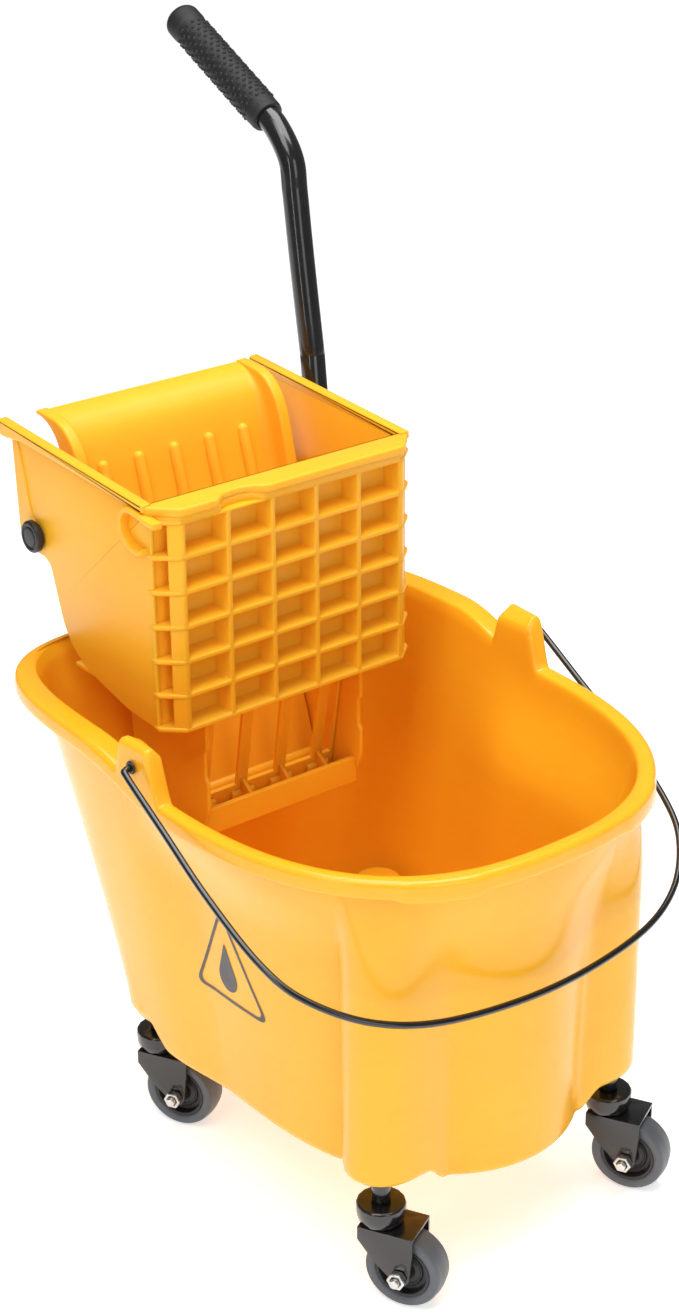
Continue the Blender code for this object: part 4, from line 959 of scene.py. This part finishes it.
GEAR_RATIO, GEAR_TEETH, RACK_TEETH, LEVER_TRAVEL = 0.24, 24, 100, 75.0
GEAR_X, GEAR_WIDTH, RACK_INSIDE = 0.055, 0.012, 0.181
CENTRE_DISTANCE = math.hypot(AXLE[0] - HINGE[0], AXLE[1] - HINGE[1])
GEAR_RADIUS = CENTRE_DISTANCE * GEAR_RATIO / (1 + GEAR_RATIO)
RACK_RADIUS = CENTRE_DISTANCE - GEAR_RADIUS
MESH_ANGLE = math.atan2(AXLE[0] - HINGE[0], AXLE[1] - HINGE[1])
TOOTH_MODULE = 2 * GEAR_RADIUS / GEAR_TEETH


def rack_outline():
    """Curved rack about the hinge pin: trapezoid teeth outside, a plain arc inside."""
    pitch = 2 * math.pi / RACK_TEETH
    first = PLATE_LEAN - math.radians(0.3)
    last = MESH_ANGLE + math.radians(LEVER_TRAVEL * GEAR_RATIO + 4.5)
    tip, root = RACK_RADIUS + 0.75 * TOOTH_MODULE, RACK_RADIUS - 1.05 * TOOTH_MODULE
    start = MESH_ANGLE - 1.6 * pitch
    points = [about_hinge(root, first), about_hinge(root, start)]
    for tooth in range(-1, math.floor((last - MESH_ANGLE) / pitch) + 1):
        middle = MESH_ANGLE + tooth * pitch
        if middle + 0.34 * pitch > last:
            continue
        points += [about_hinge(root, middle - 0.30 * pitch), about_hinge(tip, middle - 0.13 * pitch),
                   about_hinge(tip, middle + 0.13 * pitch), about_hinge(root, middle + 0.30 * pitch)]
    points.append(about_hinge(root, last))
    return points + [about_hinge(RACK_INSIDE, mix(last, first, i / 10)) for i in range(11)]


def build_press_plate():
    """Dished plate with rounded inside corners, five raised ribs and two curved racks on its back."""
    low, back = 0.1335, 0.0022
    straight = ((low, 0.0105), (0.160, 0.0128), (0.190, 0.0156), (0.220, 0.0185), (0.245, 0.0205),
                (0.262, 0.0218))
    ledge = [(0.2735, 0.5650, 0.0222), (0.2785, 0.5790, 0.0205), (0.2835, 0.5885, 0.0165),
             (0.2900, 0.5955, 0.0110), (0.2965, 0.5998, 0.0060), (0.3050, 0.6030, 0.0026),
             (0.3135, 0.6040, 0.0014)]
    spine = [(*about_hinge(distance, PLATE_LEAN), depth) for distance, depth in straight] + ledge
    line = smooth_path([Vector(p) for p in spine], 5)
    rings = []
    for i, point in enumerate(line):
        way = line[min(i + 1, len(line) - 1)] - line[max(i - 1, 0)]
        way = Vector((way.x, way.y)).normalized()
        ahead = Vector((-way.y, way.x))
        depth, half, cheek = max(point.z, 0.0014), PLATE_HALF, 0.0105
        inner = min(0.0150, depth * 0.9)
        section = rounded([
            (-half, depth, 0.0030), (-half, -back, 0.0020), (half, -back, 0.0020), (half, depth, 0.0030),
            (half - cheek, depth, 0.0030), (half - cheek, 0.0002, inner), (-half + cheek, 0.0002, inner),
            (-half + cheek, depth, 0.0030)], 0.001, 6)
        rings.append([spot(x, *(Vector(point[:2]) + ahead * n)) for x, n in section])
    parts = [loft(rings)]
    for rib in range(-2, 3):
        x, reach = rib * 0.035, 0.0052
        path, radii = [], []
        for i in range(7):
            path.append(spot(x, *about_hinge(mix(low + 0.004, 0.2850, i / 6), PLATE_LEAN, -0.0008)))
            radii.append(reach)
        for i in range(1, 8):
            angle = math.pi / 2 * i / 7
            path.append(spot(x, *about_hinge(0.2850 + reach * math.sin(angle), PLATE_LEAN, -0.0008)))
            radii.append(reach * max(math.cos(angle), 0.02))
        parts.append(swept(path, radii, 24))
    lower = [about_hinge(0.004, PLATE_LEAN, -back), about_hinge(low + 0.006, PLATE_LEAN, -back),
             about_hinge(low + 0.006, PLATE_LEAN, back), about_hinge(0.004, PLATE_LEAN, back)]
    parts.append(prism_x(lower, (-0.0745, 0.0745), 0.0010, 0.001))
    barrel = rounded([(0, 0, 0), (0.0062, 0), (0.0062, 0.149), (0, 0.149, 0)], 0.001, 3, False)
    parts.append(turned(barrel, 32, along(spot(-0.0745, *HINGE), (1, 0, 0))))
    gusset = [about_hinge(0.118, PLATE_LEAN), about_hinge(0.184, PLATE_LEAN),
              about_hinge(0.184, PLATE_LEAN + 0.30)]
    for side, _ in SIDES:
        left = side * GEAR_X - GEAR_WIDTH / 2
        parts.append(prism_x(rack_outline(), (left, left + GEAR_WIDTH), 0.0006, 0.0004))
        parts.append(prism_x(gusset, (left + 0.003, left + GEAR_WIDTH - 0.003), 0.0006, 0.002))
    make_piece("press_plate_dished", joined(*parts), SATIN_YELLOW, "press", ("press_plate",),
               42, tidy=False)


build_press_plate()


# ---------------------------------------------------------------- casters
def build_wheel(corner):
    low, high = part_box("wheel_tyre_" + corner)
    place = along((low + high) / 2, (math.cos(CASTER_TURN), math.sin(CASTER_TURN), 0))
    half, shoulder = TYRE_HALF, WHEEL_RADIUS - 0.0030
    tyre = [(HUB_EDGE + 0.0002, -half + 0.0016), (HUB_EDGE + 0.0012, -half + 0.0006), (0.0262, -half)]
    for k in range(9):
        angle = math.pi / 2 * k / 8
        tyre.append((shoulder + 0.0022 * math.sin(angle), -half + 0.0046 * (1 - math.cos(angle)) + 0.0002))
    tyre += [(WHEEL_RADIUS - 0.0003, -0.0040), (WHEEL_RADIUS, -0.0012)]
    tyre += [(radius, -height) for radius, height in tyre[::-1]]
    make_piece("tyre_" + corner, turned(tyre, 96, place), TYRE_GREY, "wheel_" + corner,
               ("wheel_tyre_" + corner,), 50)
    web, rim_half, boss = 0.0048, 0.0108, 0.0142
    side = [(0.0043, boss, 0), (0.0078, boss), (0.0088, web + 0.0012), (0.0128, web + 0.0004),
            (0.0136, web + 0.0014), (0.0146, web + 0.0014), (0.0154, web), (0.0188, web),
            (0.0198, rim_half), (HUB_EDGE, rim_half, 0.0004)]
    side = rounded(side, 0.0010, 4, closed=False)
    profile = [(r, -h) for r, h in side] + side[::-1]
    make_piece("hub_" + corner, turned(profile, 72, place), BLACK_PLASTIC, "wheel_" + corner,
               ("wheel_hub_" + corner,), 35)


for tag in CORNERS:
    build_wheel(tag)
    softened("caster_fork_" + tag, 0.0009, BLACK_STEEL, "caster_" + tag, "fork_" + tag, 3)
    softened("caster_cup_" + tag, 0.0010, BLACK_STEEL, "caster_" + tag, "cup_" + tag, 3)
    softened("caster_stem_" + tag, 0.0005, BLACK_STEEL, "bucket", "stem_" + tag)
    softened("caster_socket_" + tag, 0.0004, BLACK_PLASTIC, "bucket", "socket_" + tag)
    softened("wheel_bolt_" + tag, 0.0006, ZINC, "caster_" + tag, "bolt_" + tag, 3)
    softened("wheel_nut_" + tag, 0.0007, ZINC, "caster_" + tag, "nut_" + tag, 3)


# ---------------------------------------------------------------- lever and mechanism
def ring_of_ribs():
    """Geometry nodes: straight ribs standing round an axis, with named sizes."""
    w, given, sockets = growing_tree("ring_of_ribs", (
        ("Count", "Int"), ("Radius", "Float"), ("Length", "Float"), ("Thickness", "Float"),
        ("Depth", "Float")))
    circle = w.put("GeometryNodeMeshCircle", Vertices=given["Count"], Radius=given["Radius"])
    size = w.put("ShaderNodeCombineXYZ", X=given["Length"], Y=given["Thickness"], Z=given["Depth"])
    rib = w.put("GeometryNodeMeshCube", Size=size.outputs[0])
    turn = w.put("FunctionNodeAlignRotationToVector", Vector=w.put("GeometryNodeInputPosition").outputs[0])
    turn.axis = "X"
    placed = w.put("GeometryNodeInstanceOnPoints", Points=circle.outputs[0], Instance=rib.outputs[0],
                   Rotation=turn.outputs[0])
    return tree_end(w, given, placed), sockets


def bumps_on_tube():
    """Geometry nodes: rows of small studs wrapped round a tube, with named sizes."""
    w, given, sockets = growing_tree("bumps_on_tube", (
        ("Around", "Int"), ("Along", "Int"), ("Radius", "Float"), ("Start", "Float"), ("Pitch", "Float"),
        ("Stud Radius", "Float")))
    around, radius = given["Around"], given["Radius"]
    points = w.put("GeometryNodeMeshLine", Count=w.maths("MULTIPLY", around, given["Along"]))
    index = w.put("GeometryNodeInputIndex").outputs[0]
    row = w.maths("FLOOR", w.maths("DIVIDE", w.maths("ADD", index, 0.5), around))
    column = w.maths("SUBTRACT", index, w.maths("MULTIPLY", row, around))
    stagger = w.maths("MULTIPLY", w.maths("MODULO", row, 2.0), 0.5)
    angle = w.maths("MULTIPLY", w.maths("DIVIDE", w.maths("ADD", column, stagger), around), 2 * math.pi)
    cosine, sine = w.maths("COSINE", angle), w.maths("SINE", angle)
    place = w.put("ShaderNodeCombineXYZ", X=w.maths("MULTIPLY", cosine, radius),
                  Y=w.maths("MULTIPLY", sine, radius),
                  Z=w.maths("ADD", given["Start"], w.maths("MULTIPLY", row, given["Pitch"])))
    outward = w.put("ShaderNodeCombineXYZ", X=cosine, Y=sine)
    move = w.put("GeometryNodeSetPosition", Geometry=points.outputs[0], Position=place.outputs[0])
    stud = w.put("GeometryNodeMeshUVSphere", Segments=8, Rings=5, Radius=given["Stud Radius"])
    turn = w.put("FunctionNodeAlignRotationToVector", Vector=outward.outputs[0])
    turn.axis = "Z"
    placed = w.put("GeometryNodeInstanceOnPoints", Points=move.outputs[0], Instance=stud.outputs[0],
                   Rotation=turn.outputs[0], Scale=(1.35, 1.0, 0.8))
    return tree_end(w, given, placed), sockets


RIBS, STUDS = ring_of_ribs(), bumps_on_tube()


def lever_point(y, z):
    return spot(LEVER_X, y, z)


def build_lever():
    up = Vector((0, 0.109, 0.994)).normalized()
    root = lever_point(*AXLE)
    grip_end = lever_point(0.485, 0.859)
    grip_way = Vector((0, 0.893, 0.450)).normalized()
    grip_start = grip_end - grip_way * GRIP_LENGTH
    bends = [root + up * 0.093, lever_point(0.3080, 0.655), lever_point(0.3150, 0.700),
             lever_point(0.3205, 0.738), lever_point(0.3255, 0.765), grip_start - grip_way * 0.012,
             grip_start + grip_way * 0.02]
    path = [root + up * 0.060] + smooth_path(bends, 10)
    radii = [0.0090] + [TUBE_RADIUS] * (len(path) - 1)
    make_piece("lever_tube_bent", swept(path, radii, 40), BLACK_STEEL, "lever", ("lever_tube",),
               60)

    place = along(grip_start, grip_way)
    bore, body, collar, end = TUBE_RADIUS + 0.0001, GRIP_RADIUS - 0.0009, GRIP_RADIUS, GRIP_LENGTH
    profile = [(bore, 0, 0), (0.0142, 0), (0.0150, 0.0030), (0.0150, 0.0080), (body, 0.0100),
               (body, end - 0.0190), (collar, end - 0.0165), (collar, end - 0.0040, 0.002),
               (collar - 0.0026, end, 0.002), (0.0085, end), (0.0080, end - 0.0012), (0, end - 0.0012, 0)]
    profile = rounded(profile, 0.0009, 4, closed=False) + [(0, end - 0.02), (bore, end - 0.02)]
    grip = turned(profile, 72, place)
    studs = grown(STUDS, {"Around": 16, "Along": 21, "Radius": body, "Start": 0.0150, "Pitch": 0.0052,
                          "Stud Radius": 0.0015, "Material": GRIP_RUBBER}, place)
    arms = grown(RIBS, {"Count": 4, "Radius": 0.0042, "Length": 0.0080, "Thickness": 0.0022, "Depth": 0.0016,
                        "Material": GRIP_RUBBER}, place @ Matrix.Translation((0, 0, end - 0.0008)))
    make_piece("grip", joined(grip, studs, arms), GRIP_RUBBER, "lever", ("lever_grip",), 45,
               tidy=False)


build_lever()
for node, width, material, body, slot in (
        ("lever_socket", 0.0009, BLACK_STEEL, "lever", "black_steel"),
        ("lever_axle", 0.0008, ZINC, "lever", "zinc_steel"),
        ("lever_bolt", 0.0006, ZINC, "lever", "zinc_steel"),
        ("lever_nut", 0.0007, ZINC, "lever", "zinc_steel"),
        ("axle_spacer", 0.0006, BLACK_PLASTIC, "lever", "black_plastic"),
        ("gear_sector_left", 0.0006, BLACK_PLASTIC, "lever", "black_plastic"),
        ("gear_sector_right", 0.0006, BLACK_PLASTIC, "lever", "black_plastic"),
        ("axle_bush_left", 0.0005, BLACK_PLASTIC, "wringer", "black_plastic"),
        ("axle_bush_right", 0.0005, BLACK_PLASTIC, "wringer", "black_plastic"),
        ("hinge_pin", 0.0004, ZINC, "wringer", "zinc_steel"),
        ("hinge_clip_left", 0.0003, ZINC, "wringer", "zinc_steel"),
        ("hinge_clip_right", 0.0003, ZINC, "wringer", "zinc_steel")):
    softened(node, width, material, body, node + "_finished")


def build_axle_cap():
    profile = [(0, 0, 0), (0.0128, 0), (0.0136, 0.0012), (0.0136, 0.0048), (0.0122, 0.0064), (0.0102, 0.0064),
               (0.0096, 0.0052), (0.0084, 0.0052), (0.0078, 0.0064), (0, 0.0066, 0)]
    make_piece("axle_end_cap", turned(rounded(profile, 0.0006, 3, False), 64,
                                      along(spot(-0.1270, *AXLE), (-1, 0, 0))),
               BLACK_PLASTIC, "lever", ("axle_cap",), 40)


build_axle_cap()


def build_return_spring(side, tag):
    """Torsion spring coiled round the axle, a straight leg at each end."""
    coil, wire, first_x, rise, turns, per_turn = 0.0118, 0.0012, side * 0.0760, side * 0.0065, 3, 36
    path = []
    for i in range(turns * per_turn + 1):
        angle = 2 * math.pi * i / per_turn
        path.append(spot(first_x + rise * i / per_turn, AXLE[0] + coil * math.sin(angle),
                         AXLE[1] + coil * math.cos(angle)))
    path = [path[0] + Vector((0, -0.022, 0))] + path + [path[-1] + Vector((0, 0.026, 0))]
    make_piece("spring_" + tag, swept(path, [wire] * len(path), 10), ZINC, "wringer",
               ("return_spring_" + tag,), 60)


for side, tag in SIDES:
    build_return_spring(side, tag)


# ---------------------------------------------------------------- floor, light and camera
def build_floor():
    bm = bmesh.new()
    reach = 2.6
    bm.faces.new([bm.verts.new((x, y, -0.0002)) for x, y in
                  ((-reach, -reach), (reach, -reach), (reach, reach), (-reach, reach))])
    mesh = laid_down(bm, "floor")
    material = bpy.data.materials.new("floor_white")
    material.use_nodes = True
    shader = material.node_tree.nodes["Principled BSDF"]
    shader.inputs["Base Color"].default_value = (0.92, 0.92, 0.92, 1)
    shader.inputs["Roughness"].default_value = 0.9
    shader.inputs["Specular IOR Level"].default_value = 0.0
    shader.inputs["Emission Color"].default_value = (1, 1, 1, 1)
    shader.inputs["Emission Strength"].default_value = 0.5
    mesh.materials.append(material)
    stood("floor", mesh)


def add_softbox(name, place, target, size, power):
    light = bpy.data.lights.new(name, "AREA")
    light.shape, light.size, light.size_y = "RECTANGLE", size[0], size[1]
    light.energy = power
    stood(name, light).matrix_world = along(place, Vector(place) - Vector(target))


def build_stage():
    build_floor()
    add_softbox("key", (-1.4, -0.7, 2.7), (0, 0, 0.35), (1.4, 1.4), 26)
    add_softbox("front_fill", (-0.5, -2.5, 1.3), (0, 0, 0.4), (1.0, 1.6), 10)
    add_softbox("strip", (-2.2, -0.9, 1.0), (0, 0.2, 0.6), (0.22, 1.5), 5)
    add_softbox("top", (0.25, -0.1, 2.7), (0, 0, 0.3), (1.8, 1.8), 56)
    world = bpy.data.worlds.new("studio")
    world.use_nodes = True
    nodes, links = world.node_tree.nodes, world.node_tree.links
    seen, lit = nodes["Background"], nodes.new("ShaderNodeBackground")
    seen.inputs["Color"].default_value, seen.inputs["Strength"].default_value = (1, 1, 1, 1), 1.0
    path = nodes.new("ShaderNodeLightPath")
    dim = nodes.new("ShaderNodeMapRange")
    dim.inputs["To Min"].default_value, dim.inputs["To Max"].default_value = 0.50, 0.24
    links.new(path.outputs["Is Glossy Ray"], dim.inputs["Value"])
    links.new(dim.outputs["Result"], lit.inputs["Strength"])
    pick = nodes.new("ShaderNodeMixShader")
    links.new(path.outputs["Is Camera Ray"], pick.inputs[0])
    links.new(lit.outputs[0], pick.inputs[1])
    links.new(seen.outputs[0], pick.inputs[2])
    links.new(pick.outputs[0], nodes["World Output"].inputs["Surface"])
    bpy.context.scene.world = world
    bpy.context.scene.view_settings.view_transform = "Standard"


def build_camera():
    camera = bpy.data.cameras.new("camera")
    camera.lens, camera.sensor_width, camera.sensor_fit = 69.70, 36.0, "AUTO"
    right, upward = Vector((0.79020, -0.61280, -0.00737)), Vector((0.26775, 0.33440, 0.90359))
    forward = Vector((0.55126, 0.71599, -0.42833))
    place = spot(-1.09912, -1.37794, 1.30506)
    rows = [(right[i], upward[i], -forward[i], place[i]) for i in range(3)] + [(0, 0, 0, 1)]
    viewer = stood("camera", camera)
    viewer.matrix_world = Matrix(rows)
    bpy.context.scene.camera = viewer


build_stage()
build_camera()
